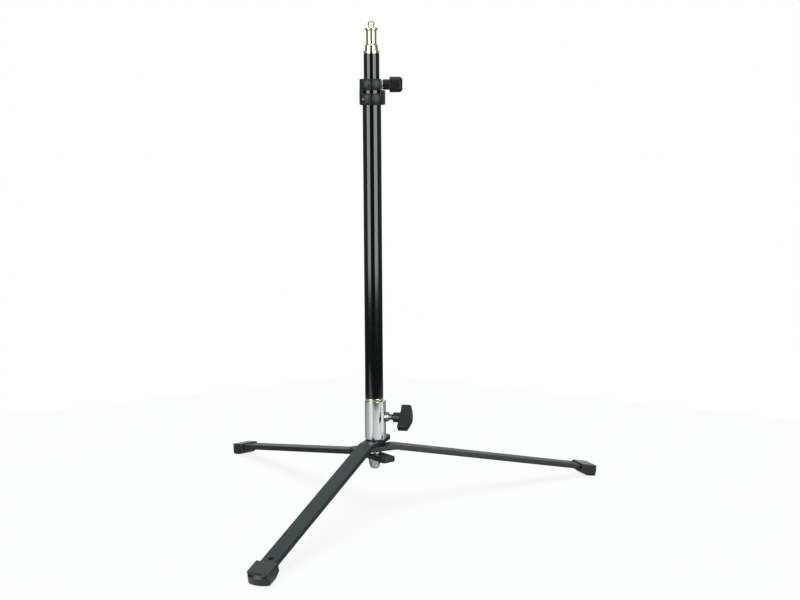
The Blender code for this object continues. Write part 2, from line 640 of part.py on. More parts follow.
def collar_profile():
    """Half section of the collar: a wide bore on the tube, a narrow one on the inner tube."""
    wide = TUBE_RADIUS + GAP
    narrow = INNER_RADIUS + GAP + 0.1 * MM
    shelf = GUIDE_RING_TOP + GAP
    r = COLLAR_EDGE_ROUND
    outer_top = arc((COLLAR_UPPER_RADIUS - r, COLLAR_TOP - r), r, 90, 0, 3)
    outer_bottom = arc((COLLAR_LOWER_RADIUS - r, COLLAR_BOTTOM + r), r, 0, -90, 3)
    step = [(COLLAR_UPPER_RADIUS, WINDOW_TOP + COLLAR_STEP), (COLLAR_LOWER_RADIUS, WINDOW_TOP)]
    return [(narrow, COLLAR_TOP)] + outer_top + step + outer_bottom + [
        (wide, COLLAR_BOTTOM), (wide, shelf), (narrow, shelf)]


def build_collar():
    """Collar, guide ring and fixing screw. Local X of the column's axis is the knob's side."""
    collar = turned("collar", collar_profile(), BLACK_PLASTIC, parent=COLUMN)
    far = 2 * COLLAR_LOWER_RADIUS
    window = block("collar_window", (-COLLAR_WINDOW_HALF_WIDTH, -far, WINDOW_BOTTOM),
                   (COLLAR_WINDOW_HALF_WIDTH, far, WINDOW_TOP), group=CUTTERS, parent=COLUMN)
    cut(collar, as_tool(window))
    flat = block("collar_flat", (COLLAR_FLAT_REACH, -far, WINDOW_TOP + GAP), (far, far, COLLAR_TOP + far),
                 group=CUTTERS, parent=COLUMN)
    cut(collar, as_tool(flat))
    lug_start = COLLAR_LOWER_RADIUS - 2 * COLLAR_EDGE_ROUND
    lug = block("collar_lug", (lug_start, -COLLAR_LUG_WIDTH / 2, COLLAR_BOTTOM + GAP),
                (COLLAR_LUG_REACH, COLLAR_LUG_WIDTH / 2, WINDOW_TOP), parent=COLUMN)
    round_edges(lug, COLLAR_EDGE_ROUND)
    fuse(collar, lug)
    cut_collar_slit(collar)
    across = {"parent": COLUMN, "location": (0, 0, COLLAR_KNOB_HEIGHT), "rotation": (0, 90, 0)}
    cut(collar, rod_tool("collar_screw_hole", COLLAR_SPINDLE_RADIUS + GAP, 0, far, **across))
    build_collar_screw(collar)
    turned("guide_ring", ring(TUBE_RADIUS, INNER_RADIUS + GAP, TUBE_TOP + GAP, GUIDE_RING_TOP), NYLON,
           parent=COLUMN)
    build_collar_knob(across)


def cut_collar_slit(collar):
    """The split down the front of both bands, bridged at the middle of each."""
    half = COLLAR_SLIT_WIDTH / 2
    bridge = COLLAR_BRIDGE_HEIGHT / 2
    lower_middle = (COLLAR_BOTTOM + WINDOW_BOTTOM) / 2
    upper_middle = (WINDOW_TOP + COLLAR_TOP) / 2
    spans = {"lower": (COLLAR_BOTTOM - GAP, lower_middle - bridge),
             "middle": (lower_middle + bridge, upper_middle - bridge),
             "upper": (upper_middle + bridge, COLLAR_TOP + GAP)}
    for name, (low, high) in spans.items():
        slit = block("collar_slit_" + name, (-half, -2 * COLLAR_LOWER_RADIUS, low), (half, 0, high),
                     group=CUTTERS, parent=COLUMN)
        cut(collar, as_tool(slit))


def build_collar_screw(collar):
    """Small screw that pins the lower band to the outer tube."""
    height = (COLLAR_BOTTOM + WINDOW_BOTTOM) / 2
    side = new_empty("collar_screw_axis", (0, 0, height), COLLAR_SCREW_TURN, COLUMN)
    across = {"parent": side, "rotation": (0, 90, 0)}
    start = TUBE_RADIUS + GAP
    end = COLLAR_LOWER_RADIUS + COLLAR_SCREW_PROUD
    radius = COLLAR_SCREW_RADIUS
    cut(collar, rod_tool("collar_pin_hole", radius + GAP, TUBE_RADIUS / 2, 2 * end, steps=16, **across))
    screw = turned("collar_screw", [(0, end), (radius - 0.3 * MM, end), (radius, end - 0.3 * MM),
                                    (radius, start), (0, start)], ZINC, 16, **across)
    cut(screw, rod_tool("collar_screw_key", COLLAR_SCREW_KEY_RADIUS, end - COLLAR_SCREW_KEY_DEPTH, 2 * end,
                        steps=6, **across))


def head_outline():
    """A square with its corners cut off, seen along the knob's axis."""
    half = COLLAR_HEAD_HALF_WIDTH
    short = half - COLLAR_HEAD_CHAMFER
    quarter = [(half, -short), (half, short)]
    points = []
    for turn in range(4):
        spin = Matrix.Rotation(math.radians(90 * turn), 2)
        points += [tuple(spin @ Vector(point)) for point in quarter]
    return points


def build_collar_knob(across):
    """Shoe, spindle, washer and head, all along local X of the column's axis."""
    shoe_start = INNER_RADIUS + GAP
    shoe_end = shoe_start + SHOE_THICKNESS
    spindle_start = shoe_end + GAP
    washer_start = COLLAR_FLAT_REACH + GAP
    washer_end = washer_start + COLLAR_KNOB_WASHER_THICKNESS
    hub_start = washer_end + GAP
    head_start = hub_start + COLLAR_HUB_LENGTH
    head_end = head_start + COLLAR_HEAD_LENGTH
    spindle_end = head_start + COLLAR_HEAD_LENGTH / 2
    shoe_radius = COLLAR_SPINDLE_RADIUS - 0.1 * MM
    turned("collar_shoe", [(0, shoe_end), (shoe_radius, shoe_end), (shoe_radius, shoe_start),
                           (0, shoe_start)], BRASS, SMALL_STEPS, **across)
    turned("collar_spindle", [(0, spindle_end), (COLLAR_SPINDLE_RADIUS, spindle_end),
                              (COLLAR_SPINDLE_RADIUS, spindle_start + 0.4 * MM),
                              (COLLAR_SPINDLE_RADIUS - 0.4 * MM, spindle_start), (0, spindle_start)],
           ZINC, SMALL_STEPS, **across)
    turned("collar_knob_washer", ring(COLLAR_KNOB_WASHER_RADIUS, COLLAR_SPINDLE_RADIUS + GAP, washer_start,
                                      washer_end, 0.25 * MM), CHROME, SMALL_STEPS, **across)
    knob = plate("collar_knob", head_outline(), COLLAR_HEAD_LENGTH, BLACK_PLASTIC, **across)
    knob.rotation_euler = (math.radians(COLLAR_KNOB_TURN), math.radians(90), 0)
    knob.data.transform(Matrix.Translation((0, 0, head_start + COLLAR_HEAD_LENGTH / 2)))
    outer_rim = head_end - GAP
    round_uprights(knob, COLLAR_HEAD_END_CHAMFER, lambda point: point.z > outer_rim, segments=2)
    round_edges(knob, 0.8 * MM, angle=28.0)
    hub_top = head_start + COLLAR_HEAD_LENGTH / 3
    hub = turned("collar_knob_hub", [(0, hub_top), (COLLAR_HUB_RADIUS, hub_top),
                                     (COLLAR_HUB_RADIUS, hub_start + 0.8 * MM),
                                     (COLLAR_HUB_RADIUS - 0.8 * MM, hub_start), (0, hub_start)],
                 None, SMALL_STEPS, **across)
    fuse(knob, hub)
    cut(knob, rod_tool("collar_knob_bore", COLLAR_SPINDLE_RADIUS + GAP, 0, spindle_end + GAP, **across))


def stud_profile():
    """The stud from its threaded tip down to the tenon inside the inner tube."""
    shoulder_bottom = INNER_TOP + GAP
    body_bottom = shoulder_bottom + STUD_SHOULDER
    groove_bottom = body_bottom + STUD_BODY
    groove_top = groove_bottom + STUD_GROOVE
    rim_bottom = groove_top + STUD_GROOVE_TAPER
    rim_top = rim_bottom + STUD_FLANGE
    neck_bottom = rim_top + STUD_CROWN
    tip_bottom = neck_bottom + STUD_NECK
    tip_top = tip_bottom + STUD_TIP
    tenon = INNER_BORE - GAP
    tenon_bottom = INNER_TOP - STUD_TENON
    dome = arc((STUD_TIP_RADIUS - 2.4 * MM, tip_top - 2.4 * MM), 2.4 * MM, 90, 0, 4)
    return [(0, tip_top)] + dome + [
        (STUD_TIP_RADIUS, tip_bottom + 0.8 * MM), (STUD_NECK_RADIUS, tip_bottom),
        (STUD_NECK_RADIUS, neck_bottom),
        (PIN_RADIUS, rim_top), (PIN_RADIUS, rim_bottom), (STUD_GROOVE_RADIUS, groove_top),
        (STUD_GROOVE_RADIUS, groove_bottom + STUD_GROOVE_TAPER / 2),
        (PIN_RADIUS, groove_bottom - STUD_GROOVE_TAPER / 2),
        (PIN_RADIUS, body_bottom), (INNER_RADIUS - 0.4 * MM, body_bottom),
        (INNER_RADIUS, body_bottom - 0.4 * MM),
        (INNER_RADIUS, shoulder_bottom), (tenon, shoulder_bottom),
        (tenon, tenon_bottom + 1.0 * MM),
        (tenon - 1.0 * MM, tenon_bottom), (0, tenon_bottom)]


def build_inner_section():
    """Inner tube, its guide plug at the bottom and the stud at the top."""
    turned("inner_tube", ring(INNER_RADIUS, INNER_BORE, INNER_BOTTOM, INNER_TOP), GLOSS_BLACK, parent=COLUMN)
    rim_top = INNER_BOTTOM - GAP
    rim_bottom = rim_top - GUIDE_RIM_HEIGHT
    rim = TUBE_BORE - GUIDE_RIM_CLEARANCE
    plug = INNER_BORE - GAP
    plug_top = rim_top + GUIDE_PLUG_LENGTH
    turned("inner_guide", [(plug - GUIDE_PLUG_WALL, plug_top), (plug - 0.8 * MM, plug_top),
                           (plug, plug_top - 0.8 * MM), (plug, rim_top), (rim, rim_top),
                           (rim, rim_bottom + 0.8 * MM), (rim - 0.8 * MM, rim_bottom),
                           (plug - GUIDE_PLUG_WALL, rim_bottom)], BLACK_PLASTIC, SMALL_STEPS, parent=COLUMN)
    turned("stud", stud_profile(), BRASS, parent=COLUMN)


def centre_footprint():
    """Move the whole stand so that the origin is the middle of its footprint's box."""
    bpy.context.view_layer.update()
    graph = bpy.context.evaluated_depsgraph_get()
    corners = []
    for body in STAND.objects:
        if body.type != 'MESH':
            continue
        shaped = body.evaluated_get(graph)
        corners += [shaped.matrix_world @ vertex.co for vertex in shaped.data.vertices]
    middle_x = (min(p.x for p in corners) + max(p.x for p in corners)) / 2
    middle_y = (min(p.y for p in corners) + max(p.y for p in corners)) / 2
    ROOT.location = (-middle_x, -middle_y, 0)
    bpy.context.view_layer.update()
    print("column axis at", tuple(round(value, 6) for value in ROOT.location))


build_leg("front", FRONT_LEG_AZIMUTH, LEG_TOPS[0])
build_leg("right", RIGHT_LEG_AZIMUTH, LEG_TOPS[1])
build_leg("left", LEFT_LEG_AZIMUTH, LEG_TOPS[2])
build_pivot()
build_receiver()
build_column()
build_collar()
build_inner_section()
centre_footprint()
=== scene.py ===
"""Looks of the folding light stand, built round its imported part. Metres, +Z up."""

import math

import bmesh
import bpy
from mathutils import Matrix, Vector


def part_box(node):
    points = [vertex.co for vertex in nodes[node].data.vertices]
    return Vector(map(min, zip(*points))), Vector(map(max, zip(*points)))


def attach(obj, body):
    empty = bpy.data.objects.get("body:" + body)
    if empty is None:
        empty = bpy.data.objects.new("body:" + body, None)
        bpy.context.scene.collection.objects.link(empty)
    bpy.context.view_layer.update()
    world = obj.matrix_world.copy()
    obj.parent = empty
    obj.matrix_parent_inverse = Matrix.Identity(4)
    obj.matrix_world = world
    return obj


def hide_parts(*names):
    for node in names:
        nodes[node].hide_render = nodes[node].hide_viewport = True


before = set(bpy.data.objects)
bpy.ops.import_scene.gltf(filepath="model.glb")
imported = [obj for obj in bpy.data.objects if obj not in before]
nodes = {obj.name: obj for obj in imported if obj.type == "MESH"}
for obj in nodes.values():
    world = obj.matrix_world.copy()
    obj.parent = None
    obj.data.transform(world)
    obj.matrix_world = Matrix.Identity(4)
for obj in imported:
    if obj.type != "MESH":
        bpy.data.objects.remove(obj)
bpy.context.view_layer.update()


# Camera
# A short telephoto 1.8 m from the column, level with its collar, looks down nine degrees. Place
# and angles were fitted to the feet, legs and column in the photo.
MM = 0.001
CAMERA_STANDS_AT = Vector((0.7037, -1.6434, 0.5491))
CAMERA_HEADING = 22.11
CAMERA_TILT = 80.916
CAMERA_ROLL = -0.3
LENS = 64.8

tube_low, tube_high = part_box("outer_tube")
column = Vector(((tube_low.x + tube_high.x) / 2, (tube_low.y + tube_high.y) / 2, 0))


def turned_by(angle, axis):
    return Matrix.Rotation(math.radians(angle), 4, axis)


lens = bpy.data.cameras.new("photo_camera")
lens.sensor_width = 36.0
lens.lens = LENS
camera = bpy.data.objects.new("photo_camera", lens)
camera.matrix_world = (Matrix.Translation(column + CAMERA_STANDS_AT)
                       @ turned_by(CAMERA_HEADING, 'Z') @ turned_by(CAMERA_TILT, 'X')
                       @ turned_by(CAMERA_ROLL, 'Z'))
bpy.context.scene.collection.objects.link(camera)
bpy.context.scene.camera = camera
bpy.context.scene.view_settings.view_transform = 'Standard'


# Studio
# A white cyclorama behind the stand, two tall softboxes left and right of the camera with a dark
# gap between them, a dim room at the sides, and lamps that light dull surfaces at a plain level.
# Bearings are in degrees round the column, 0 towards the camera and 90 to its right.
LEFT_BOX = (-71.0, -63.0, -31.0, -25.0)
RIGHT_BOX = (19.0, 24.0, 60.0, 69.0)
BOX_HEIGHTS = (-9.3, -7.6, 34.0, 46.0)
BOX_STRENGTH = 4.8
ROOM_STRENGTH = 0.2
DARK_GAP_EDGES = (8.0, 20.0)
DARK_GAP_STRENGTH = 0.05
UNDER_EDGES = (-12.0, -6.0)
UNDER_STRENGTH = 0.08
CEILING_EDGES = (60.0, 78.0)
CEILING_STRENGTH = 1.0
BACKDROP_EDGES = (150.0, 162.0)
BACKDROP_HEIGHTS = (-40.0, -30.0, 55.0, 75.0)
BACKDROP_STRENGTH = 0.9
AMBIENT_STRENGTH = 0.09
LIGHT_COLOR = (0.91, 1.0, 0.985)
WHITE = (1.0, 1.0, 1.0)
LAMP_AIM_LEVEL = 0.25
# Each lamp's place right of, towards the camera from and above the column, its size and power
LAMPS = {"left_lamp": ((-1.5, 1.4, 1.2), 1.2, 6.0),
         "right_lamp": ((1.6, 1.3, 1.2), 1.2, 7.0),
         "overhead_lamp": ((0.0, -0.1, 2.0), 1.8, 36.0)}

to_camera = Vector((CAMERA_STANDS_AT.x, CAMERA_STANDS_AT.y, 0)).normalized()
to_right = Vector((-to_camera.y, to_camera.x, 0))


class Wire:
    """One output of a node. Sums, products and differences written with it add Math nodes."""

    def __init__(self, tree, socket):
        self.tree = tree
        self.socket = socket

    def math(self, operation, *values):
        return self.tree.node("Math", {"operation": operation}, dict(enumerate(values)))

    def __add__(self, other):
        return self.math('ADD', self, other)

    def __sub__(self, other):
        return self.math('SUBTRACT', self, other)

    def __rsub__(self, other):
        return self.math('SUBTRACT', other, self)

    def __mul__(self, other):
        return self.math('MULTIPLY', self, other)

    def __abs__(self):
        return self.math('ABSOLUTE', self)

    __radd__ = __add__
    __rmul__ = __mul__

    def rise(self, start, end):
        """0 below start, 1 above end, and a smooth step between them."""
        return self.tree.node("MapRange", {"interpolation_type": 'SMOOTHSTEP'},
                              {0: self, 1: start, 2: end, 3: 0.0, 4: 1.0})

    def larger(self, other):
        return self.math('MAXIMUM', self, other)

    def dot(self, direction):
        return self.tree.node("VectorMath", {"operation": 'DOT_PRODUCT'}, {0: self, 1: direction},
                              out=1)


class Nodes:
    """A node tree that is filled with one method."""

    def __init__(self, tree):
        self.tree = tree
        tree.nodes.clear()

    def node(self, kind, settings=None, sockets=None, out=0):
        """Adds a node: its type, its settings, the values or wires of its sockets, one output."""
        made = self.tree.nodes.new("ShaderNode" + kind)
        for name, value in (settings or {}).items():
            setattr(made, name, value)
        for name, value in (sockets or {}).items():
            if isinstance(value, Wire):
                self.tree.links.new(value.socket, made.inputs[name])
            else:
                made.inputs[name].default_value = value
        return Wire(self, made.outputs[out]) if len(made.outputs) else None

    def mix(self, share, first, second):
        return self.node("Mix", {"data_type": 'RGBA'},
                         {0: share, 6: (*first, 1.0), 7: (*second, 1.0)}, out=2)


def band(value, edges):
    """1 between the inner two of four edges, and 0 outside the outer two."""
    return value.rise(edges[0], edges[1]) * (1 - value.rise(edges[2], edges[3]))


def bearing(spot):
    """Angle in degrees round the column, 0 towards the camera and 90 to its right."""
    side = spot.dot(to_right)
    return side.math('ARCTAN2', side, spot.dot(to_camera)) * math.degrees(1)


world = bpy.data.worlds.new("studio")
world.use_nodes = True
bpy.context.scene.world = world
studio = Nodes(world.node_tree)
heading = studio.node("TexCoord")
azimuth = bearing(heading)
turned_away = abs(azimuth)
height = heading.dot(Vector((0, 0, 1)))
elevation = height.math('ARCSINE', height) * math.degrees(1)
softboxes = (band(azimuth, LEFT_BOX) + band(azimuth, RIGHT_BOX)) * band(elevation, BOX_HEIGHTS)
dark_gap = 1 - turned_away.rise(*DARK_GAP_EDGES)
room = ROOM_STRENGTH - dark_gap * (ROOM_STRENGTH - DARK_GAP_STRENGTH)
room = UNDER_STRENGTH + (room - UNDER_STRENGTH) * elevation.rise(*UNDER_EDGES)
room = room + elevation.rise(*CEILING_EDGES) * CEILING_STRENGTH
backdrop = turned_away.rise(*BACKDROP_EDGES) * band(elevation, BACKDROP_HEIGHTS)
reflected = (softboxes * BOX_STRENGTH + room).larger(backdrop * BACKDROP_STRENGTH)
seen = studio.node("LightPath", out="Is Camera Ray")
through = studio.node("LightPath", out="Is Transmission Ray")
glossy = studio.node("LightPath", out="Is Glossy Ray")
plain = seen.larger(through)
dull = glossy * reflected + (1 - glossy) * AMBIENT_STRENGTH
glow = studio.node("Background", None, {
    "Color": studio.mix(plain, LIGHT_COLOR, WHITE), "Strength": plain + (1 - plain) * dull})
studio.node("OutputWorld", None, {"Surface": glow})


def hang_lamp(name, place, size, power):
    """A square softbox that lights dull surfaces and is left out of reflections."""
    lamp = bpy.data.lights.new(name, 'AREA')
    lamp.shape = 'SQUARE'
    lamp.size = size
    lamp.energy = power
    lamp.color = LIGHT_COLOR
    holder = bpy.data.objects.new(name, lamp)
    holder.location = place
    aim = column + Vector((0, 0, LAMP_AIM_LEVEL)) - place
    holder.rotation_mode = 'QUATERNION'
    holder.rotation_quaternion = aim.to_track_quat('-Z', 'Y')
    holder.visible_glossy = False
    holder.visible_camera = False
    bpy.context.scene.collection.objects.link(holder)


def studio_place(right, towards, up):
    """A place right of the column, towards the camera from it, and above the floor."""
    return column + to_right * right + to_camera * towards + Vector((0, 0, up))


for lamp_name, (lamp_place, lamp_size, lamp_power) in LAMPS.items():
    hang_lamp(lamp_name, studio_place(*lamp_place), lamp_size, lamp_power)


# Floor
# White paper under the stand. It glows white to the camera and keeps part of its shading, so that
# the stand's shadow stays on it. In reflections its brightness is painted light and painted shadow,
# set by bearing and distance.
PAPER_LEVEL = -0.3
# Bearing and distance of the paper's corners
PAPER_REACH = ((-180, 0.80), (-120, 0.85), (-70, 0.92), (-45, 0.85), (-20, 0.60), (0, 0.56),
               (30, 0.55), (55, 0.57), (75, 0.72), (120, 0.80))
PAPER_SHADE = 0.6
PAPER_GLOW = 0.8
PAPER_WHITE = 1.1
PAPER_DIM = 0.3
# Painted light that reflections of the paper gain, and the four edges of the bearings that gain it
PAPER_PAINTED_LIGHT = ((0.32, (-130, -95, 100, 130)), (0.55, (-80, -42, -27, -10)),
               (0.25, (-10, 0, 75, 110)), (0.14, (20, 40, 80, 110)))
# Painted shadow also dims it near the column, and painted shade far from it, except at some
# bearings
PAPER_NEAR = (0.27, 0.35)
PAPER_PAINTED_SHADOW = 0.6
PAPER_FAR = (0.56, 0.66)
PAPER_PAINTED_FAR_SHADE = 0.85
PAPER_FAR_KEPT = (-75, -58, -26, -8)
PAPER_FAR_EASED = (75, 95)
PAPER_FAR_EASE = 0.4

shape = bmesh.new()
rim = []
for corner_bearing, reach in PAPER_REACH:
    angle = math.radians(corner_bearing)
    spot = studio_place(reach * math.sin(angle), reach * math.cos(angle), PAPER_LEVEL * MM)
    rim.append(shape.verts.new(spot - column))
shape.faces.new(rim)
paper_mesh = bpy.data.meshes.new("floor_paper")
shape.to_mesh(paper_mesh)
shape.free()
paper = bpy.data.materials.new("floor_paper")
paper.use_nodes = True
sheet = Nodes(paper.node_tree)
dull_paper = sheet.node("BsdfDiffuse", None, {"Color": (*[PAPER_SHADE] * 3, 1)})
on_paper = sheet.node("TexCoord", out="Object")
paper_bearing = bearing(on_paper)
# Painted light and shadow on the paper, seen only in reflections: bright bands by bearing, dimmed
# near the column and far out
lit = PAPER_DIM
for gain, edges in PAPER_PAINTED_LIGHT:
    lit = lit + gain * band(paper_bearing, edges)
distance = sheet.node("VectorMath", {"operation": 'LENGTH'}, {0: on_paper}, out=1)
far = distance.rise(*PAPER_FAR) * (1 - band(paper_bearing, PAPER_FAR_KEPT)
                                   - PAPER_FAR_EASE * paper_bearing.rise(*PAPER_FAR_EASED))
near = (1 - distance.rise(*PAPER_NEAR)) * PAPER_PAINTED_SHADOW
lit = lit * (1 - near) * (1 - PAPER_PAINTED_FAR_SHADE * far)
reflects = sheet.node("LightPath", out="Is Glossy Ray")
shows = sheet.node("LightPath", out="Is Camera Ray")
shows = shows.larger(sheet.node("LightPath", out="Is Transmission Ray"))
bright_paper = sheet.node("Emission", None, {
    "Color": sheet.mix(reflects, WHITE, LIGHT_COLOR),
    "Strength": shows * PAPER_WHITE + reflects * lit})
blend = sheet.node("MixShader", None, {
    0: shows * PAPER_GLOW + reflects, 1: dull_paper, 2: bright_paper})
sheet.node("OutputMaterial", None, {"Surface": blend})
paper_mesh.materials.append(paper)
floor = bpy.data.objects.new("floor_paper", paper_mesh)
floor.location = column
bpy.context.scene.collection.objects.link(floor)


# Outer tube
# Drawn steel tube, 23 mm across, painted gloss black. It is pressed on the brass spigot's tenon
# and stands on its flange.
TUBE_RADIUS = 11.5
TUBE_BORE = 10.4
TUBE_END_ROUND = 0.25
AXIS_TOLERANCE = 0.001


class Finish(Nodes):
    """A material of this stand, worked out in each piece's own coordinates."""

    def __init__(self, name):
        self.material = bpy.data.materials.new(name)
        self.material.use_nodes = True
        super().__init__(self.material.node_tree)
        self.place = self.node("TexCoord", out="Object")

    def stretched(self, scales):
        return self.node("Mapping", None, {"Vector": self.place, "Scale": scales})

    def noise(self, scale, detail=2.0, roughness=0.5, where=None):
        return self.node("TexNoise", None, {"Vector": where or self.place, "Scale": scale,
                                            "Detail": detail, "Roughness": roughness})

    def part(self, axis):
        return self.node("SeparateXYZ", None, {0: self.place}, out=axis)

    def bump(self, height, strength, distance):
        return self.node("Bump", None,
                         {"Strength": strength, "Distance": distance, "Height": height})

    def surface(self, sockets):
        shader = self.node("BsdfPrincipled", None, sockets)
        self.node("OutputMaterial", None, {"Surface": shader})


def round_corners(corners, steps=5, closed=False):
    """An outline's points, each corner (across, up, radius) worn to an arc of its radius."""
    points = []
    last = len(corners) - 1
    for index, (across, up, radius) in enumerate(corners):
        here = Vector((across, up))
        if not radius or (not closed and index in (0, last)):
            points.append(here)
            continue
        back = (Vector(corners[index - 1][:2]) - here).normalized()
        ahead = (Vector(corners[(index + 1) % (last + 1)][:2]) - here).normalized()
        half = back.angle(ahead) / 2
        centre = here + (back + ahead).normalized() * (radius / math.sin(half))
        first = here + back * (radius / math.tan(half)) - centre
        final = here + ahead * (radius / math.tan(half)) - centre
        sweep = first.angle(final)
        for step in range(steps + 1):
            share = step / steps
            arm = first * math.sin((1 - share) * sweep) + final * math.sin(share * sweep)
            points.append(centre + arm / math.sin(sweep))
    return points


def circle(radius, around=96):
    angles = [2 * math.pi * step / around for step in range(around)]
    return [Vector((radius * math.cos(angle), radius * math.sin(angle))) for angle in angles]


def turn(corners, closed=False, outline=None, core=0.0, steps=5):
    """A body spun round local Z from its half section, in mm. An outline, whose nominal radius is
    the section's widest, takes the circle's place for what lies farther out than the core."""
    section = round_corners(corners, steps, closed)
    widest = max(point.x for point in section)
    outline = outline or circle(widest)
    shape = bmesh.new()
    rings = []
    for point in section:
        if point.x < AXIS_TOLERANCE:
            rings.append([shape.verts.new((0, 0, point.y * MM))])
            continue
        ring = []
        for spot in outline:
            reach = spot.length - (widest - point.x) if point.x > core else point.x
            outward = spot.normalized() * reach
            ring.append(shape.verts.new((outward.x * MM, outward.y * MM, point.y * MM)))
        rings.append(ring)
    pairs = list(zip(rings, rings[1:])) + ([(rings[-1], rings[0])] if closed else [])
    for one, other in pairs:
        count = max(len(one), len(other))
        for step in range(count):
            ahead = (step + 1) % count
            face = [one[step % len(one)], one[ahead % len(one)],
                    other[ahead % len(other)], other[step % len(other)]]
            shape.faces.new(list(dict.fromkeys(face)))
    bmesh.ops.recalc_face_normals(shape, faces=shape.faces)
    return shape


def make_piece(name, shape, finish, body, stands_for, place=None, crease=32.0):
    """Puts a finished shape in its place, on its body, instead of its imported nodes."""
    mesh = bpy.data.meshes.new(name)
    shape.to_mesh(mesh)
    shape.free()
    mesh.shade_smooth()
    mesh.set_sharp_from_angle(angle=math.radians(crease))
    mesh.materials.append(finish.material)
    piece = bpy.data.objects.new(name, mesh)
    shading = piece.modifiers.new("even_shading", 'WEIGHTED_NORMAL')
    shading.keep_sharp = True
    piece.matrix_world = place or Matrix.Translation(column)
    bpy.context.scene.collection.objects.link(piece)
    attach(piece, body)
    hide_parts(*stands_for)


def levels(node):
    """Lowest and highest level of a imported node, in mm."""
    low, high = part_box(node)
    return low.z / MM, high.z / MM


def sleeve(bore, radius, low, high, bore_round, rim_round):
    """A tube or a washer between two levels, in mm, with its edges rounded in and outside."""
    return turn([(bore, low, bore_round), (radius, low, rim_round),
                 (radius, high, rim_round), (bore, high, bore_round)], closed=True)


gloss_black = Finish("gloss_black")
drawn = gloss_black.noise(1.0, 3.0, 0.6, gloss_black.stretched((700.0, 700.0, 9.0)))
cloudy = gloss_black.noise(38.0, 4.0, 0.65)
specks = gloss_black.noise(1400.0, 1.0).rise(0.68, 0.76)
gloss_black.surface({
    "Base Color": gloss_black.mix(cloudy * 0.5 + specks * 0.5,
                                  (0.003, 0.0035, 0.004), (0.010, 0.011, 0.012)),
    "Roughness": 0.05 + cloudy * 0.04 + specks * 0.08,
    "IOR": 1.6,
    "Normal": gloss_black.bump(drawn * 0.6 + cloudy * 0.4, 0.05, 0.0001)})

outer_tube = sleeve(TUBE_BORE, TUBE_RADIUS, *levels("outer_tube"),
                    TUBE_END_ROUND, TUBE_END_ROUND)
make_piece("outer_tube_drawn", outer_tube, gloss_black, "column", ["outer_tube"])


# Inner tube
# Drawn steel tube, 19.4 mm across, in the same gloss black. It slides in the outer tube and
# carries the stud in its end.
INNER_RADIUS = 9.7
INNER_BORE = 8.5

inner_tube = sleeve(INNER_BORE, INNER_RADIUS, *levels("inner_tube"),
                    TUBE_END_ROUND, TUBE_END_ROUND)
make_piece("inner_tube_drawn", inner_tube, gloss_black, "inner_tube", ["inner_tube"])


# Stud
# Turned and polished brass, pressed into the inner tube's end: a shoulder, a 16 mm body with a
# long groove for a lamp's clamp screw, a rim, and a small rounded tip on a neck.
STUD_SHOULDER = 2.9
STUD_BODY = 7.3
STUD_GROOVE = 16.6
STUD_GROOVE_RADIUS = 6.4
STUD_GROOVE_TAPER = 1.8
STUD_RIM = 1.5
STUD_CROWN = 1.0
STUD_NECK_RADIUS = 3.4
STUD_NECK = 2.1
STUD_TIP_RADIUS = 4.2
STUD_TIP = 5.6
STUD_TIP_ROUND = 3.4
STUD_TIP_HEEL = 0.6
STUD_TIP_HEEL_ROUND = 1.5
STUD_RADIUS = 8.0
STUD_TENON = 24.0
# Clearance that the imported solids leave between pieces
GAP = 0.3

brass = Finish("polished_brass")
rings = brass.noise(1.0, 2.0, 0.6, brass.stretched((3.0, 3.0, 2600.0)))
tarnish = brass.noise(120.0, 5.0, 0.7)
brass.surface({
    "Base Color": brass.mix(tarnish.rise(0.35, 0.75), (0.90, 0.79, 0.53), (0.77, 0.65, 0.38)),
    "Metallic": 1.0,
    "Roughness": 0.04 + tarnish * 0.05 + rings * 0.03,
    "Normal": brass.bump(rings, 0.03, 0.00005)})

inner_top = levels("inner_tube")[1]
shoulder_low = inner_top + GAP
body_low = shoulder_low + STUD_SHOULDER
groove_low = body_low + STUD_BODY
groove_high = groove_low + STUD_GROOVE
rim_low = groove_high + STUD_GROOVE_TAPER
rim_high = rim_low + STUD_RIM
neck_low = rim_high + STUD_CROWN
tip_low = neck_low + STUD_NECK
tip_high = tip_low + STUD_TIP
tenon_low = inner_top - STUD_TENON
tenon_radius = INNER_BORE - GAP
stud = turn([
    (0, tip_high, 0), (STUD_TIP_RADIUS, tip_high, STUD_TIP_ROUND),
    (STUD_TIP_RADIUS, tip_low + STUD_TIP_HEEL, STUD_TIP_HEEL_ROUND),
    (STUD_NECK_RADIUS, tip_low, 0.3), (STUD_NECK_RADIUS, neck_low, 0.4),
    (STUD_RADIUS, rim_high, 0.4), (STUD_RADIUS, rim_low, 0.3),
    (STUD_GROOVE_RADIUS, groove_high, 0.6),
    (STUD_GROOVE_RADIUS, groove_low + STUD_GROOVE_TAPER / 2, 0.6),
    (STUD_RADIUS, groove_low - STUD_GROOVE_TAPER / 2, 0.3), (STUD_RADIUS, body_low, 0.25),
    (INNER_RADIUS, body_low, 0.4), (INNER_RADIUS, shoulder_low, 0.2),
    (tenon_radius, shoulder_low, 0.1), (tenon_radius, tenon_low, 1.0), (0, tenon_low, 0)])
make_piece("stud_turned", stud, brass, "inner_tube", ["stud"])


# Spigot
# A brass pin that stands in the receiver. Its flange, a ring as wide as the tube, shows between
# the two, and its tenon is pressed into the tube.
FLANGE_HEIGHT = 3.5
FLANGE_ROUND = 0.7
SPIGOT_TENON = 27.0
PIN_RADIUS = 8.0

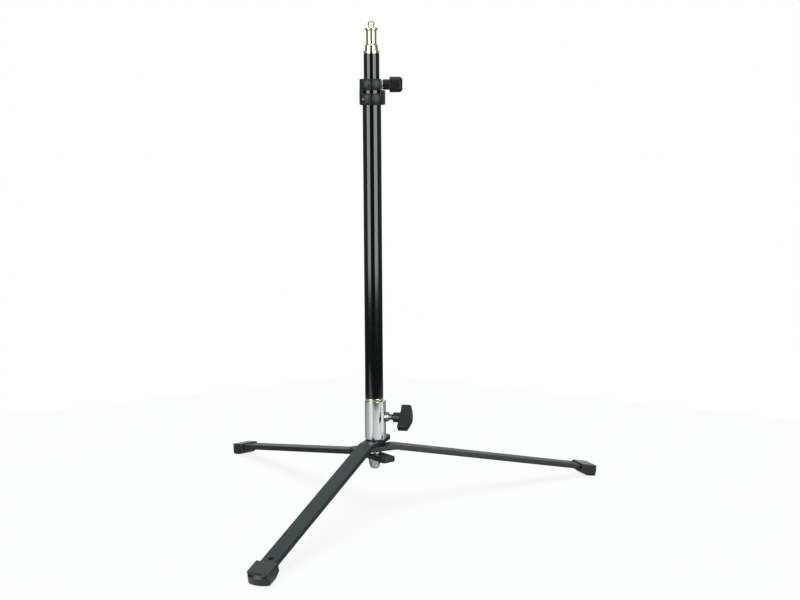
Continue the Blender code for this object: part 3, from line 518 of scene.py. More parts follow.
flange_low = levels("receiver")[1] + GAP
flange_high = flange_low + FLANGE_HEIGHT
pin_low = levels("spigot")[0]
spigot_high = flange_high + SPIGOT_TENON
spigot = turn([
    (0, spigot_high, 0), (TUBE_BORE - GAP, spigot_high, 1.0), (TUBE_BORE - GAP, flange_high, 0.1),
    (TUBE_RADIUS, flange_high, FLANGE_ROUND), (TUBE_RADIUS, flange_low, FLANGE_ROUND),
    (PIN_RADIUS, flange_low, 0.2), (PIN_RADIUS, pin_low, 1.0), (0, pin_low, 0)])
make_piece("spigot_turned", spigot, brass, "column_spigot", ["spigot"])


# Receiver
# A chromed steel socket for the spigot. A flat pad runs down its side for the clamp screw, and it
# stands on the stack of legs.
RECEIVER_RADIUS = 12.1
RECEIVER_BORE = 8.3
RECEIVER_FLOOR = 6.0
RECEIVER_HOLE = 4.3
RECEIVER_PAD_REACH = 14.0
RECEIVER_PAD_HALF_WIDTH = 6.0
RECEIVER_BOTTOM_ROUND = 1.7
RECEIVER_AZIMUTH = 8.0
RECEIVER_ROUND_CORE = 9.3
OUTLINE_STEPS = 84

chrome = Finish("satin_chrome")
plated = chrome.noise(260.0, 3.0, 0.6)
clouds = chrome.noise(45.0, 3.0, 0.6)
chrome.surface({
    "Base Color": chrome.mix(clouds, (0.70, 0.70, 0.70), (0.60, 0.60, 0.60)),
    "Metallic": 1.0,
    "Roughness": 0.05 + plated * 0.05 + clouds * 0.03,
    "Normal": chrome.bump(plated, 0.04, 0.00012)})


def socket_outline():
    """The receiver seen from above: a circle with the pad's corners standing out of it."""
    half = RECEIVER_PAD_HALF_WIDTH
    meets = math.degrees(math.asin(half / RECEIVER_RADIUS))
    foot_of_pad = RECEIVER_RADIUS * math.cos(math.radians(meets))
    pad = [(foot_of_pad, -half, 0.5), (RECEIVER_PAD_REACH, -half, 0.9),
           (RECEIVER_PAD_REACH, half, 0.9), (foot_of_pad, half, 0.5)]
    round_part = []
    for step in range(1, OUTLINE_STEPS):
        angle = math.radians(meets + (360 - 2 * meets) * step / OUTLINE_STEPS)
        round_part.append((RECEIVER_RADIUS * math.cos(angle), RECEIVER_RADIUS * math.sin(angle), 0))
    return round_corners(pad + round_part, closed=True)


socket_low, socket_high = levels("receiver")
receiver_axis = Matrix.Translation(column) @ turned_by(RECEIVER_AZIMUTH, 'Z')
floor_high = socket_low + RECEIVER_FLOOR
socket = turn([
    (RECEIVER_BORE, socket_high, 0.7), (RECEIVER_RADIUS, socket_high, 0.5),
    (RECEIVER_RADIUS, socket_low, RECEIVER_BOTTOM_ROUND), (RECEIVER_HOLE, socket_low, 0),
    (RECEIVER_HOLE, floor_high, 0.3), (RECEIVER_BORE, floor_high, 0.3)],
    closed=True, outline=socket_outline(), core=RECEIVER_ROUND_CORE)
make_piece("receiver_plated", socket, chrome, "base", ["receiver"], receiver_axis)


# Receiver boss and screw
# A threaded steel boss brazed on the pad, and the steel screw that runs in it to clamp the spigot.
# Both have the receiver's chrome, gone dull.
BOSS_RADIUS = 6.2
BOSS_LENGTH = 5.0
BOSS_TAPER_LENGTH = 1.6
BOSS_TAPER = 1.3
KNOB_HEIGHT = 29.8
SCREW_RADIUS = 3.9
SCREW_PITCH = 1.25
SCREW_THREAD_DEPTH = 0.55
SCREW_START = 11.3
SCREW_END_CHAMFER = 0.5
SCREW_END_SLOPE = 0.4
HUB_START = 25.0
HUB_LENGTH = 9.0

dull_chrome = Finish("dull_chrome")
stains = dull_chrome.noise(500.0, 4.0, 0.6)
dull_chrome.surface({
    "Base Color": dull_chrome.mix(stains, (0.42, 0.42, 0.41), (0.26, 0.26, 0.25)),
    "Metallic": 1.0,
    "Roughness": 0.20 + stains * 0.14,
    "Normal": dull_chrome.bump(stains, 0.08, 0.0001)})


def thread(radius, start, end, pitch, depth, around=40, per_turn=10):
    """A screw along local Z, in mm: a V thread run out at both ends, closed by flat faces."""
    shape = bmesh.new()
    rings = []
    count = int(round((end - start) / pitch * per_turn))
    for step in range(count + 1):
        level = start + (end - start) * step / count
        from_end = min(level - start, end - level)
        cut = depth * min(1.0, from_end / pitch)
        worn_off = SCREW_END_SLOPE * max(0.0, SCREW_END_CHAMFER - from_end)
        ring = []
        for spot in range(around):
            share = (level / pitch - spot / around) % 1.0
            reach = (radius - cut * abs(2 * share - 1) - worn_off) * MM
            angle = 2 * math.pi * spot / around
            across, along = reach * math.cos(angle), reach * math.sin(angle)
            ring.append(shape.verts.new((across, along, level * MM)))
        rings.append(ring)
    for one, other in zip(rings, rings[1:]):
        for spot in range(around):
            ahead = (spot + 1) % around
            shape.faces.new((one[spot], one[ahead], other[ahead], other[spot]))
    shape.faces.new(rings[0])
    shape.faces.new(rings[-1])
    bmesh.ops.recalc_face_normals(shape, faces=shape.faces)
    return shape


receiver_across = (receiver_axis @ Matrix.Translation((0, 0, (socket_low + KNOB_HEIGHT) * MM))
                   @ turned_by(90, 'Y'))
boss_low = RECEIVER_PAD_REACH + GAP
boss_high = boss_low + BOSS_LENGTH
boss = turn([
    (SCREW_RADIUS + GAP, boss_low, 0), (BOSS_RADIUS, boss_low, 0.5),
    (BOSS_RADIUS, boss_high - BOSS_TAPER_LENGTH, 0.9), (BOSS_RADIUS - BOSS_TAPER, boss_high, 0.4),
    (SCREW_RADIUS + GAP, boss_high, 0.3)], closed=True)
make_piece("receiver_boss_plated", boss, dull_chrome, "base", ["receiver_boss"],
           receiver_across)
screw = thread(SCREW_RADIUS, SCREW_START, HUB_START + HUB_LENGTH, SCREW_PITCH, SCREW_THREAD_DEPTH)
make_piece("receiver_screw_cut", screw, dull_chrome, "receiver_knob", ["receiver_screw"],
           receiver_across)


# Receiver knob
# A T-handle moulded on the screw's end in black nylon with a fine grain: a round hub, and a
# creased wing that thins towards both tips.
WING_HALF_LENGTH = 18.0
WING_WIDTH = 12.5
WING_END_WIDTH = 9.0
WING_END_THICKNESS = 12.2
WING_MIDDLE_THICKNESS = 15.4
WING_SWEEP = -0.8
WING_TURN = -50.0
WING_STEPS = 12
WING_BOW_POWER = 1.5
WING_TIP_ROUND = 1.4
HUB_RADIUS = 6.35
MOULD_GRAIN = 0.00032
MOULD_CREASE = 60.0
NEAR = 0.1

black_plastic = Finish("grained_black_plastic")
grain = black_plastic.noise(1500.0, 2.0, 0.6)
flow = black_plastic.noise(90.0, 3.0)
black_plastic.surface({
    "Base Color": black_plastic.mix(flow, (0.006, 0.0075, 0.0075), (0.011, 0.013, 0.013)),
    "Roughness": 0.28 + grain * 0.12 + flow * 0.06,
    "IOR": 1.5,
    "Normal": black_plastic.bump(grain, 0.18, 0.0001)})


def prism(points, low, high, plane='XY'):
    """A straight body between two levels, in mm, over an outline in the named plane."""
    shape = bmesh.new()
    ends = []
    for level in (low, high):
        ring = []
        for across, up in points:
            spot = (across, up, level) if plane == 'XY' else (across, level, up)
            ring.append(shape.verts.new(Vector(spot) * MM))
        ends.append(ring)
        shape.faces.new(ring)
    for step in range(len(points)):
        ahead = (step + 1) % len(points)
        shape.faces.new((ends[0][step], ends[0][ahead], ends[1][ahead], ends[1][step]))
    bmesh.ops.recalc_face_normals(shape, faces=shape.faces)
    return shape


def brick(low, high):
    """A box between two corners, in mm."""
    outline = [(low[0], low[1]), (high[0], low[1]), (high[0], high[1]), (low[0], high[1])]
    return prism(outline, low[2], high[2])


def soften_edges(shape, radius, chosen, segments=4):
    """Rounds the edges whose two ends both satisfy chosen(point in mm)."""
    edges = [edge for edge in shape.edges if all(chosen(vert.co / MM) for vert in edge.verts)]
    bmesh.ops.bevel(shape, geom=edges, offset=radius * MM, segments=segments, profile=0.5,
                    affect='EDGES')
    return shape


def on_bench(name, shape):
    """A shape as an object that modifiers can work on."""
    mesh = bpy.data.meshes.new(name)
    shape.to_mesh(mesh)
    shape.free()
    body = bpy.data.objects.new(name, mesh)
    bpy.context.scene.collection.objects.link(body)
    return body


def mould(solids, hollows=(), grain=MOULD_GRAIN, smoothing=5, late_cuts=()):
    """One body from overlapping solids less some hollows, its edges softened as a mould's are."""
    body = on_bench("mould_body", solids[0])
    bench = [body]

    def add(kind, **settings):
        modifier = body.modifiers.new(kind.lower(), kind)
        for key, value in settings.items():
            setattr(modifier, key, value)

    def shape_with(shapes, operation):
        for shape in shapes:
            tool = on_bench("mould_tool", shape)
            bench.append(tool)
            add('BOOLEAN', operation=operation, solver='EXACT', object=tool)

    shape_with(solids[1:], 'UNION')
    shape_with(hollows, 'DIFFERENCE')
    if grain:
        add('REMESH', mode='VOXEL', voxel_size=grain)
        add('SMOOTH', factor=0.5, iterations=smoothing)
    shape_with(late_cuts, 'DIFFERENCE')
    made = bmesh.new()
    made.from_object(body, bpy.context.evaluated_depsgraph_get())
    for item in bench:
        mesh = item.data
        bpy.data.objects.remove(item)
        bpy.data.meshes.remove(mesh)
    return made


def wing():
    """The handle's wing, seen from the side, and thinned towards its tips from a middle crease."""
    end = WING_SWEEP + WING_END_THICKNESS
    points = []
    for step in range(-WING_STEPS, WING_STEPS + 1):
        along_wing = step / WING_STEPS
        bow = (WING_MIDDLE_THICKNESS - end) * abs(along_wing) ** WING_BOW_POWER
        points.append((WING_MIDDLE_THICKNESS - bow, WING_HALF_LENGTH * along_wing))
    points += [(WING_SWEEP, WING_HALF_LENGTH), (0, HUB_RADIUS), (0, -HUB_RADIUS),
               (WING_SWEEP, -WING_HALF_LENGTH)]
    shape = prism(points, -WING_WIDTH / 2, WING_WIDTH / 2, plane='XZ')
    bmesh.ops.bisect_plane(shape, geom=shape.verts[:] + shape.edges[:] + shape.faces[:], dist=1e-6,
                           plane_co=(0, 0, 0), plane_no=(0, 0, 1))
    loss = 1 - WING_END_WIDTH / WING_WIDTH
    for vertex in shape.verts:
        vertex.co.y *= 1 - loss * abs(vertex.co.z) / MM / WING_HALF_LENGTH
    soften_edges(shape, WING_TIP_ROUND, lambda spot: abs(spot.z) > WING_HALF_LENGTH - NEAR)
    spin = Matrix.Translation((0, 0, (HUB_START + HUB_LENGTH) * MM)) @ turned_by(-90, 'Y')
    lay = turned_by(WING_TURN, 'Z') @ spin
    bmesh.ops.transform(shape, verts=shape.verts, matrix=lay)
    bmesh.ops.recalc_face_normals(shape, faces=shape.faces)
    return shape


hub_end = HUB_START + HUB_LENGTH + WING_END_THICKNESS / 2
hub = turn([(0, HUB_START, 0), (HUB_RADIUS, HUB_START, 1.2),
            (HUB_RADIUS, hub_end, 0.5), (0, hub_end, 0)])
make_piece("receiver_knob_moulded", mould([wing(), hub]), black_plastic, "receiver_knob",
           ["receiver_knob"], receiver_across, crease=MOULD_CREASE)


# Legs
# Three flat steel bars, 20 by 6.5 mm, stacked on the pivot bolt. Each is bent down past it, and
# has a short tail behind it and a hole drilled near its foot. Their powder coat is a satin dark
# grey, worn at the edges.
LEG_AZIMUTHS = {"front": 270.0, "right": 46.0, "left": 150.4}
LEG_TOPS = {"front": 83.7, "right": 75.4, "left": 65.9}
LEG_BODIES = {"front": "base", "right": "right_leg", "left": "left_leg"}
LEG_HALF_WIDTH = 10.0
LEG_THICKNESS = 6.5
LEG_EDGE_ROUND = 1.15
LEAST_EDGE_ROUND = 0.05
LEG_CREASE = 38.0
LEG_TAIL = 32.0
LEG_TAIL_ROUND = 5.0
LEG_TAIL_SHARES = (0.35, 0.5, 0.65, 0.8, 1.0)
LEG_END_ANGLES = range(0, 91, 15)
LEG_BEND_AT = 27.5
LEG_BEND_RADIUS = 26.0
LEG_BEND_STEPS = 12
LEG_HOLE_RADIUS = 2.7
LEG_HOLE_INBOARD = 9.0
DRILL_AROUND = 40
PIVOT_HOLE_RADIUS = 4.3
FOOT_REACH = 321.0
FOOT_SOLE = 6.9
FOOT_FLAT = 1.2
FOOT_LENGTH = 24.3
FOOT_END_WALL = 4.0
FIRST_SLOPE = 0.2
SLOPE_ROUNDS = 12
WORN_EDGE = (0.0088, 0.0099)

powder_coat = Finish("powder_coat")
peel = powder_coat.noise(820.0, 2.0, 0.55)
fine = powder_coat.noise(3000.0, 1.0)
patches = powder_coat.noise(42.0, 4.0, 0.6)
chips = powder_coat.noise(260.0, 3.0).rise(0.5, 0.72)
worn = abs(powder_coat.part("Y")).rise(*WORN_EDGE) * chips
powder_coat.surface({
    "Base Color": powder_coat.mix(patches * 0.6 + worn * 0.8,
                                  (0.012, 0.018, 0.018), (0.025, 0.033, 0.033)),
    "Roughness": 0.36 + peel * 0.16 + patches * 0.06,
    "IOR": 1.5,
    "Normal": powder_coat.bump(peel * 0.75 + fine * 0.25, 0.3, 0.00012)})


def leg_slope(top):
    """Slope that brings a leg from its hub level down to a foot at the common reach. Each round
    of the loop comes nearer to it."""
    depth = GAP + LEG_THICKNESS + FOOT_SOLE
    slope = FIRST_SLOPE
    for _ in range(SLOPE_ROUNDS):
        run = FOOT_REACH + depth * math.sin(slope) - LEG_BEND_AT
        slope = math.atan2(top - (depth * math.cos(slope) - FOOT_FLAT), run)
    return slope


def leg_end(slope):
    """Where the leg's top line ends inside its foot: distance from the pivot, and level."""
    depth = GAP + LEG_THICKNESS + FOOT_SOLE
    return (FOOT_REACH + depth * math.sin(slope) - (FOOT_END_WALL + GAP) * math.cos(slope),
            depth * math.cos(slope) - FOOT_FLAT + (FOOT_END_WALL + GAP) * math.sin(slope))


def leg_axis(side_name):
    """Where a leg's own coordinates lie: on the pivot, with X running outward."""
    return Matrix.Translation(column) @ turned_by(LEG_AZIMUTHS[side_name], 'Z')


def on_slope(out, up, slope):
    """A spot in the leg's own coordinates, tilted as the leg is."""
    return Matrix.Translation(Vector((out, 0, up)) * MM) @ Matrix.Rotation(slope, 4, 'Y')


def leg_stations(top, slope):
    """Along the bar from its tail: spot on the top line, slope there, half width, edge inset."""
    stations = []
    for end_angle in LEG_END_ANGLES:
        angle = math.radians(end_angle)
        stations.append((LEG_EDGE_ROUND * (1 - math.cos(angle)),
                         LEG_EDGE_ROUND * (1 - math.sin(angle))))
    stations += [(LEG_TAIL_ROUND * share, 0.0) for share in LEG_TAIL_SHARES]
    path = []
    for distance, inset in stations:
        lack = max(0.0, LEG_TAIL_ROUND - distance)
        half = LEG_HALF_WIDTH - LEG_TAIL_ROUND + math.sqrt(LEG_TAIL_ROUND ** 2 - lack ** 2)
        path.append((distance - LEG_TAIL, top, 0.0, half, inset))
    tangent = LEG_BEND_RADIUS * math.tan(slope / 2)
    for step in range(LEG_BEND_STEPS + 1):
        bent = slope * step / LEG_BEND_STEPS
        path.append((LEG_BEND_AT - tangent + LEG_BEND_RADIUS * math.sin(bent),
                     top - LEG_BEND_RADIUS * (1 - math.cos(bent)), bent, LEG_HALF_WIDTH, 0.0))
    end_out, end_up = leg_end(slope)
    path.append((end_out, end_up, slope, LEG_HALF_WIDTH, 0.0))
    return path


def bar(top, slope):
    """The bent bar: a rectangle with rounded corners carried along the leg's stations."""
    shape = bmesh.new()
    sections = []
    for out, up, bent, half, inset in leg_stations(top, slope):
        normal = Vector((math.sin(bent), 0, math.cos(bent)))
        width, low, high = half - inset, -LEG_THICKNESS + inset, -inset
        edge = max(LEG_EDGE_ROUND - inset, LEAST_EDGE_ROUND)
        corners = [(width, low, edge), (width, high, edge),
                   (-width, high, edge), (-width, low, edge)]
        sections.append([shape.verts.new((Vector((out, point.x, up)) + normal * point.y) * MM)
                         for point in round_corners(corners, closed=True)])
    for one, other in zip(sections, sections[1:]):
        for step in range(len(one)):
            ahead = (step + 1) % len(one)
            shape.faces.new((one[step], one[ahead], other[ahead], other[step]))
    shape.faces.new(sections[0])
    shape.faces.new(sections[-1])
    bmesh.ops.recalc_face_normals(shape, faces=shape.faces)
    return shape


def drill(radius, place, countersink=0.4):
    """A drill's bore through a bar, as a solid, with a small countersink at the top."""
    low, high = -2 * LEG_THICKNESS, LEG_THICKNESS
    wide = radius + countersink
    shape = turn([(0, low, 0), (radius, low, 0), (radius, -countersink, 0), (wide, 0, 0),
                  (wide, high, 0), (0, high, 0)], outline=circle(wide, DRILL_AROUND))
    bmesh.ops.transform(shape, verts=shape.verts, matrix=place)
    return shape


for side_name, top in LEG_TOPS.items():
    slope = leg_slope(top)
    end_out, end_up = leg_end(slope)
    inboard = FOOT_LENGTH - FOOT_END_WALL - GAP + LEG_HOLE_INBOARD
    hole = on_slope(end_out - inboard * math.cos(slope), end_up + inboard * math.sin(slope), slope)
    tools = [drill(LEG_HOLE_RADIUS, hole), drill(PIVOT_HOLE_RADIUS, on_slope(0, top, 0))]
    make_piece(side_name + "_leg_bar", mould([bar(top, slope)], tools, grain=None), powder_coat,
               LEG_BODIES[side_name], [side_name + "_leg"], leg_axis(side_name),
               crease=LEG_CREASE)


# Feet
# A moulded rubber cap on each leg's end: a flat lid, a ledge below it round a bowed nose, and a
# sole worn flat where it stands.
FOOT_HALF_WIDTH = 13.5
FOOT_LID = 1.4
FOOT_HEEL_WALL = 1.4
FOOT_HEEL_LENGTH = 11.0
FOOT_NOSE = 4.0
FOOT_NOSE_LEDGE = 1.5
FOOT_CORNER = 1.2
FOOT_CORNER_POWER = 12
FOOT_BOTTOM_ROUND = 2.2
FOOT_LID_CORNER = 1.2
FOOT_LID_ROUND = 0.6
FOOT_SHOULDER = 3.6
FOOT_GROOVE = 1.6
FOOT_GROOVE_DROP = 0.2
FOOT_CREASE = 50.0
NOSE_STEPS = 16
# How far a cutting tool reaches past what it cuts, on its way across and at its ends
CUT_REACH = 30.0
CUT_PAST = 1.0

foot_rubber = Finish("foot_rubber")
matt = foot_rubber.noise(1300.0, 2.0, 0.6)
scuffs = foot_rubber.noise(150.0, 4.0, 0.65)
foot_rubber.surface({
    "Base Color": foot_rubber.mix(scuffs, (0.011, 0.014, 0.014), (0.020, 0.024, 0.024)),
    "Roughness": 0.19 + matt * 0.1 + scuffs * 0.1,
    "IOR": 1.5,
    "Normal": foot_rubber.bump(matt, 0.2, 0.00008)})


def cap(slope, end_out, end_up):
    """One foot in the leg's own coordinates, whose X runs outward."""
    end_wall = FOOT_END_WALL + GAP
    back = end_wall - FOOT_LENGTH
    lid_top = GAP + FOOT_LID
    ledge = lid_top - FOOT_NOSE_LEDGE
    bottom = -(LEG_THICKNESS + GAP + FOOT_SOLE)
    outline = [(back, FOOT_HALF_WIDTH), (back, -FOOT_HALF_WIDTH)]
    for step in range(-NOSE_STEPS, NOSE_STEPS + 1):
        across = math.sin(math.radians(90 * step / NOSE_STEPS))
        bow = FOOT_NOSE * (1 - across ** 2) - FOOT_CORNER * abs(across) ** FOOT_CORNER_POWER
        outline.append((end_wall + bow, FOOT_HALF_WIDTH * across))
    nose = prism(outline, bottom, ledge)
    soften_edges(nose, FOOT_BOTTOM_ROUND, lambda spot: spot.z < bottom + NEAR)
    bowed_from = end_wall - FOOT_CORNER - NEAR
    soften_edges(nose, FOOT_SHOULDER,
                 lambda spot: spot.z > ledge - NEAR and spot.x > bowed_from, segments=1)
    lid = brick((back, -FOOT_HALF_WIDTH, ledge - FOOT_NOSE_LEDGE),
                (end_wall, FOOT_HALF_WIDTH, lid_top))
    soften_edges(lid, FOOT_LID_CORNER,
                 lambda spot: spot.x > end_wall - NEAR and abs(spot.y) > FOOT_HALF_WIDTH - NEAR)
    soften_edges(lid, FOOT_LID_ROUND, lambda spot: spot.z > lid_top - NEAR, segments=3)
    room_for_leg = brick((back - CUT_REACH, -LEG_HALF_WIDTH - GAP, -LEG_THICKNESS - GAP),
                         (GAP, LEG_HALF_WIDTH + GAP, GAP))
    mouth = -(LEG_THICKNESS + GAP + FOOT_HEEL_WALL)
    heel_end = back + FOOT_HEEL_LENGTH
    heel = prism([(back - CUT_PAST, mouth), (back - CUT_PAST, bottom - FOOT_SOLE),
                  (heel_end + FOOT_SOLE, bottom - FOOT_SOLE), (heel_end, bottom)],
                 -CUT_REACH, CUT_REACH, plane='XZ')
    on_leg = on_slope(end_out, end_up, slope)
    ground = brick((FOOT_REACH - 2 * CUT_REACH, -CUT_REACH, -CUT_REACH),
                   (FOOT_REACH + 2 * CUT_REACH, CUT_REACH, 0.0))
    bmesh.ops.transform(ground, verts=ground.verts, matrix=on_leg.inverted())
    groove = brick((end_wall - FOOT_GROOVE, -CUT_REACH, ledge - FOOT_GROOVE_DROP),
                   (end_wall + CUT_REACH, CUT_REACH, ledge + FOOT_GROOVE))
    made = mould([nose, lid], [heel, groove], late_cuts=[room_for_leg, ground])
    bmesh.ops.transform(made, verts=made.verts, matrix=on_leg)
    return made


for side_name, top in LEG_TOPS.items():
    slope = leg_slope(top)
    make_piece(side_name + "_foot_cap", cap(slope, *leg_end(slope)), foot_rubber,
               LEG_BODIES[side_name], [side_name + "_foot"], leg_axis(side_name),
               crease=FOOT_CREASE)


# Pivot washers and nut
# Pressed steel washers keep the legs apart, and a cap nut with a low dome closes the pivot. They
# are bright zinc plated, as is the bolt, which stays as packed.
LEG_WASHER_RADIUS = 8.2
NUT_WASHER_RADIUS = 8.4
NUT_ACROSS_FLATS = 13.0
NUT_CAP_HEIGHT = 5.0
NUT_CAP_RADIUS = 6.2
NUT_CAP_ROUND = 3.4
NUT_CAP_STEP = 0.3
NUT_TOP_CHAMFER = (0.6, 0.5)
NUT_LOWER_CHAMFER = 0.7
NUT_BORE_DEPTH = 9.0

zinc = Finish("bright_zinc")
turned_lines = zinc.noise(1.0, 2.0, 0.5, zinc.stretched((30.0, 30.0, 3000.0)))
passivation = zinc.noise(170.0, 4.0, 0.6)
zinc.surface({
    "Base Color": zinc.mix(passivation, (0.66, 0.69, 0.67), (0.52, 0.55, 0.53)),
    "Metallic": 1.0,
    "Roughness": 0.26 + passivation * 0.14,
    "Normal": zinc.bump(turned_lines, 0.1, 0.00006)})

for washer, radius in (("upper_leg_washer", LEG_WASHER_RADIUS),
                       ("lower_leg_washer", LEG_WASHER_RADIUS), ("nut_washer", NUT_WASHER_RADIUS)):
    make_piece(washer + "_pressed", sleeve(PIVOT_HOLE_RADIUS, radius, *levels(washer), 0.2, 0.3),
               zinc, "base", [washer])

nut_low, nut_high = levels("pivot_nut")
corner = NUT_ACROSS_FLATS / 2 / math.cos(math.radians(30))
hex_low = nut_low + NUT_CAP_HEIGHT
nut_body = turn([
    (0, nut_high, 0), (corner - NUT_TOP_CHAMFER[0], nut_high, 0.2),
    (corner, nut_high - NUT_TOP_CHAMFER[1], 0), (corner, hex_low + NUT_LOWER_CHAMFER, 0),
    (NUT_CAP_RADIUS + NUT_CAP_STEP, hex_low, 0), (NUT_CAP_RADIUS, hex_low, 0),
    (NUT_CAP_RADIUS, nut_low, NUT_CAP_ROUND), (0, nut_low, 0)], steps=10)
flats = []
for nut_side in range(6):
    flat = brick((NUT_ACROSS_FLATS / 2, -CUT_REACH, nut_low - CUT_PAST),
                 (CUT_REACH, CUT_REACH, nut_high + CUT_PAST))
    bmesh.ops.transform(flat, verts=flat.verts, matrix=turned_by(60 * nut_side, 'Z'))
    flats.append(flat)
bore_low, bore_high = nut_high - NUT_BORE_DEPTH, nut_high + CUT_PAST
bore = turn([(0, bore_high, 0), (PIVOT_HOLE_RADIUS, bore_high, 0),
             (PIVOT_HOLE_RADIUS, bore_low, 0), (0, bore_low, 0)])
make_piece("pivot_nut_capped", mould([nut_body], flats + [bore], grain=None), zinc, "base",
           ["pivot_nut"])
nodes["pivot_bolt"].material_slots[0].material = zinc.material


# Collar
# A black die casting on the outer tube's end. Its lower band is pinned to the tube and has a lug,
# its upper band guides the inner tube, a window parts them at front and back, and a slit down
# the front is bridged at the middle of each band.
COLLAR_AZIMUTH = 22.0
COLLAR_LOWER_RADIUS = 15.3
COLLAR_UPPER_RADIUS = 15.0
COLLAR_LOWER_BAND = 14.2
COLLAR_WINDOW = 3.6
COLLAR_WINDOW_HALF_WIDTH = 10.5
COLLAR_STEP = 1.2
COLLAR_FLAT_REACH = 11.4
COLLAR_LUG_REACH = 16.6
COLLAR_LUG_ROOT = 2.4
COLLAR_LUG_ROUND = 1.0
COLLAR_LUG_HALF_WIDTH = 6.5
COLLAR_SLIT_HALF_WIDTH = 0.7
COLLAR_BRIDGE = 1.0
COLLAR_TOP_ROUND = 0.9
COLLAR_BOTTOM_ROUND = 1.2
COLLAR_BORE_GAP = 0.4
COLLAR_UPPER_RINGS = 12
COLLAR_UPPER_SPACING = 0.9
COLLAR_LOWER_RINGS = 13
COLLAR_LOWER_SPACING = 1.05
COLLAR_LOWER_START = 1.4
# How far a band falls at its foot, the share of its height where it is widest, its fall at the rim
COLLAR_UPPER_CROWN = (1.4, 0.42, 2.2)
COLLAR_LOWER_CROWN = (1.2, 0.52, 1.7)
COLLAR_CROWN_FROM = 13.0
COLLAR_CROWN_EDGE = 14.6
COLLAR_CROWN_FADE = 4.6
COLLAR_GRAIN = 0.0003
COLLAR_SMOOTHING = 4

casting = Finish("black_casting")
sand = casting.noise(1100.0, 3.0, 0.6)
drift = casting.noise(70.0, 3.0)
casting.surface({
    "Base Color": casting.mix(drift, (0.010, 0.011, 0.012), (0.017, 0.019, 0.020)),
    "Roughness": 0.38 + sand * 0.12 + drift * 0.06,
    "IOR": 1.5,
    "Normal": casting.bump(sand, 0.3, 0.00012)})

collar_low, collar_high = levels("collar")
guide_low, guide_high = levels("guide_ring")
window_low = collar_low + COLLAR_LOWER_BAND
window_high = window_low + COLLAR_WINDOW


def crown(shape):
    """Arches both bands between the window's ends, widest at a share of their height."""
    for vertex in shape.verts:
        spot = vertex.co / MM
        reach = Vector(spot.xy).length
        if reach < COLLAR_CROWN_FROM:
            continue
        low, high, (foot, peak, lip) = collar_low, window_low, COLLAR_LOWER_CROWN
        if spot.z > window_high - NEAR:
            low, high, (foot, peak, lip) = window_high, collar_high, COLLAR_UPPER_CROWN
        share = (spot.z - low) / (high - low)
        if share < peak:
            fall = foot * (1 - share / peak) ** 2
        else:
            fall = lip * ((share - peak) / (1 - peak)) ** 3
        fade = min(1.0, max(0.0, (COLLAR_CROWN_EDGE - abs(spot.x)) / COLLAR_CROWN_FADE))
        fade = fade * fade * (3 - 2 * fade)
        vertex.co.xy *= 1 - fall * fade / reach


wide, narrow, shelf = TUBE_RADIUS + GAP, INNER_RADIUS + COLLAR_BORE_GAP, guide_high + GAP
upper_rings = [(COLLAR_UPPER_RADIUS, window_high + COLLAR_STEP + step * COLLAR_UPPER_SPACING, 0)
               for step in reversed(range(COLLAR_UPPER_RINGS))]
lower_rings = [
    (COLLAR_LOWER_RADIUS, collar_low + COLLAR_LOWER_START + step * COLLAR_LOWER_SPACING, 0)
    for step in reversed(range(COLLAR_LOWER_RINGS))]
collar_body = turn([
    (narrow, collar_high, 0), (COLLAR_UPPER_RADIUS, collar_high, COLLAR_TOP_ROUND), *upper_rings,
    (COLLAR_LOWER_RADIUS, window_high, 0), *lower_rings,
    (COLLAR_LOWER_RADIUS, collar_low, COLLAR_BOTTOM_ROUND), (wide, collar_low, 0),
    (wide, shelf, 0), (narrow, shelf, 0)], closed=True)
crown(collar_body)
lug = brick((COLLAR_LOWER_RADIUS - COLLAR_LUG_ROOT, -COLLAR_LUG_HALF_WIDTH, collar_low + GAP),
            (COLLAR_LUG_REACH, COLLAR_LUG_HALF_WIDTH, window_high))
soften_edges(lug, COLLAR_LUG_ROUND, lambda spot: spot.x > COLLAR_LUG_REACH - NEAR)
hollows = [
    brick((-COLLAR_WINDOW_HALF_WIDTH, -CUT_REACH, window_low),
          (COLLAR_WINDOW_HALF_WIDTH, CUT_REACH, window_high)),
    brick((COLLAR_FLAT_REACH, -CUT_REACH, window_high + GAP),
          (CUT_REACH, CUT_REACH, collar_high + CUT_PAST))]
lower_middle = (collar_low + window_low) / 2
upper_middle = (window_high + collar_high) / 2
for low, high in ((collar_low - CUT_PAST, lower_middle - COLLAR_BRIDGE),
                  (lower_middle + COLLAR_BRIDGE, upper_middle - COLLAR_BRIDGE),
                  (upper_middle + COLLAR_BRIDGE, collar_high + CUT_PAST)):
    hollows.append(brick((-COLLAR_SLIT_HALF_WIDTH, -CUT_REACH, low),
                         (COLLAR_SLIT_HALF_WIDTH, 0, high)))
collar_axis = Matrix.Translation(column) @ turned_by(COLLAR_AZIMUTH, 'Z')
collar = mould([collar_body, lug], hollows, grain=COLLAR_GRAIN, smoothing=COLLAR_SMOOTHING)
make_piece("collar_cast", collar, casting, "column", ["collar"], collar_axis,
           crease=MOULD_CREASE)


# Guide ring and pin
# The moulded nylon ring in the collar's mouth, which guides the inner tube, and the small zinc
# plated screw that pins the collar's lower band.
PIN_TURN = 224.0
PIN_HEAD_RADIUS = 1.5
PIN_END = COLLAR_LOWER_RADIUS + GAP
PIN_KEY_RADIUS = 0.8
PIN_KEY_DEPTH = 1.2

nylon = Finish("natural_nylon")
waxy = nylon.noise(200.0, 3.0)
nylon.surface({
    "Base Color": nylon.mix(waxy, (0.74, 0.73, 0.68), (0.66, 0.65, 0.60)),
    "Roughness": 0.42 + waxy * 0.1,
    "Normal": nylon.bump(waxy, 0.1, 0.0001)})

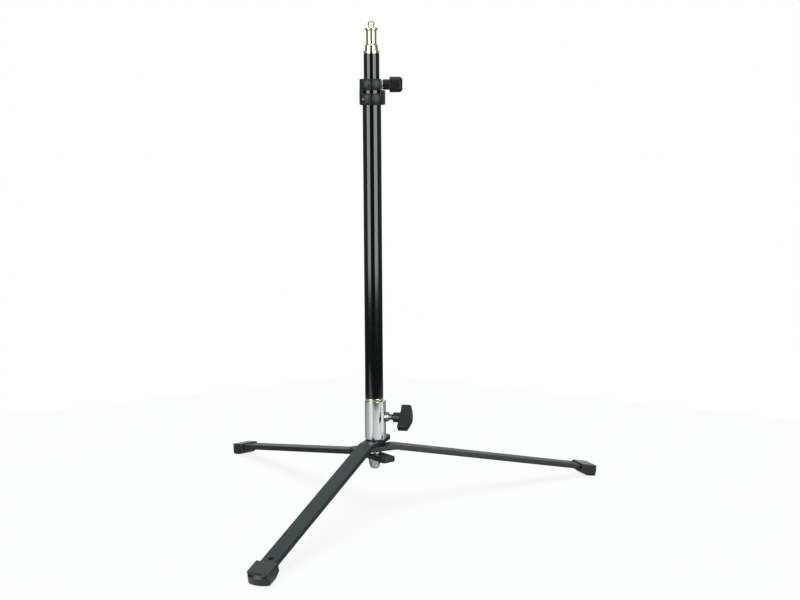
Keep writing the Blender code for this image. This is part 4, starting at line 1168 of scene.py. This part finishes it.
guide_ring = sleeve(INNER_RADIUS + GAP, TUBE_RADIUS, guide_low, guide_high, 0.2, 0.2)
make_piece("guide_ring_moulded", guide_ring, nylon, "column", ["guide_ring"])
pin_across = (collar_axis @ turned_by(PIN_TURN, 'Z')
              @ Matrix.Translation((0, 0, lower_middle * MM)) @ turned_by(90, 'Y'))
key = prism([tuple(point) for point in circle(PIN_KEY_RADIUS, 6)],
            PIN_END - PIN_KEY_DEPTH, PIN_END + CUT_PAST)
pin_start = TUBE_RADIUS + GAP
pin = turn([(0, pin_start, 0), (PIN_HEAD_RADIUS, pin_start, 0),
            (PIN_HEAD_RADIUS, PIN_END, 0.3), (0, PIN_END, 0)],
           outline=circle(PIN_HEAD_RADIUS, DRILL_AROUND))
make_piece("collar_pin_screw", mould([pin], [key], grain=None), zinc, "column",
           ["collar_screw"], pin_across)


# Collar knob
# A moulded black nylon head, square with its corners cut off, on a round hub. Its spindle runs
# through the collar's flat, with a bright washer between hub and collar.
COLLAR_WASHER_RADIUS = 6.2
COLLAR_WASHER_START = COLLAR_FLAT_REACH + GAP
COLLAR_WASHER_THICKNESS = 1.7
COLLAR_HUB_RADIUS = 6.45
COLLAR_HUB_LENGTH = 8.2
COLLAR_HUB_OVERLAP = 5.0
HEAD_LENGTH = 15.9
HEAD_HALF_WIDTH = 9.45
HEAD_CORNER = 3.6
HEAD_END_CHAMFER = 2.8
SPINDLE_RADIUS = 3.0

collar_across = (collar_axis @ Matrix.Translation((0, 0, upper_middle * MM))
                 @ turned_by(90, 'Y'))
washer_end = COLLAR_WASHER_START + COLLAR_WASHER_THICKNESS
knob_washer = sleeve(SPINDLE_RADIUS + GAP, COLLAR_WASHER_RADIUS,
                     COLLAR_WASHER_START, washer_end, 0.2, 0.5)
make_piece("collar_knob_washer_pressed", knob_washer, chrome, "collar_knob",
           ["collar_knob_washer"], collar_across)
hub_low = washer_end + GAP
head_low = hub_low + COLLAR_HUB_LENGTH
head_high = head_low + HEAD_LENGTH
short = HEAD_HALF_WIDTH - HEAD_CORNER
corners = []
for quarter in range(4):
    spin = Matrix.Rotation(math.radians(90 * quarter), 2)
    corners += [tuple(spin @ Vector((HEAD_HALF_WIDTH, up))) for up in (-short, short)]
head = prism(corners, head_low, head_high)
soften_edges(head, HEAD_END_CHAMFER, lambda spot: spot.z > head_high - NEAR, segments=1)
hub_high = head_low + COLLAR_HUB_OVERLAP
collar_hub = turn([(0, hub_low, 0), (COLLAR_HUB_RADIUS, hub_low, 0.8),
                   (COLLAR_HUB_RADIUS, hub_high, 0), (0, hub_high, 0)])
make_piece("collar_knob_moulded", mould([head, collar_hub]), black_plastic, "collar_knob",
           ["collar_knob"], collar_across, crease=MOULD_CREASE)


# Hidden pieces
# Spindle, shoe, pad and guide plug stay as packed, because the stand hides them. Each has the
# material of its kind: zinc, brass, nylon or black plastic.
for name, finish in (("collar_spindle", zinc), ("collar_shoe", brass), ("receiver_pad", nylon),
                     ("inner_guide", black_plastic)):
    nodes[name].material_slots[0].material = finish.material
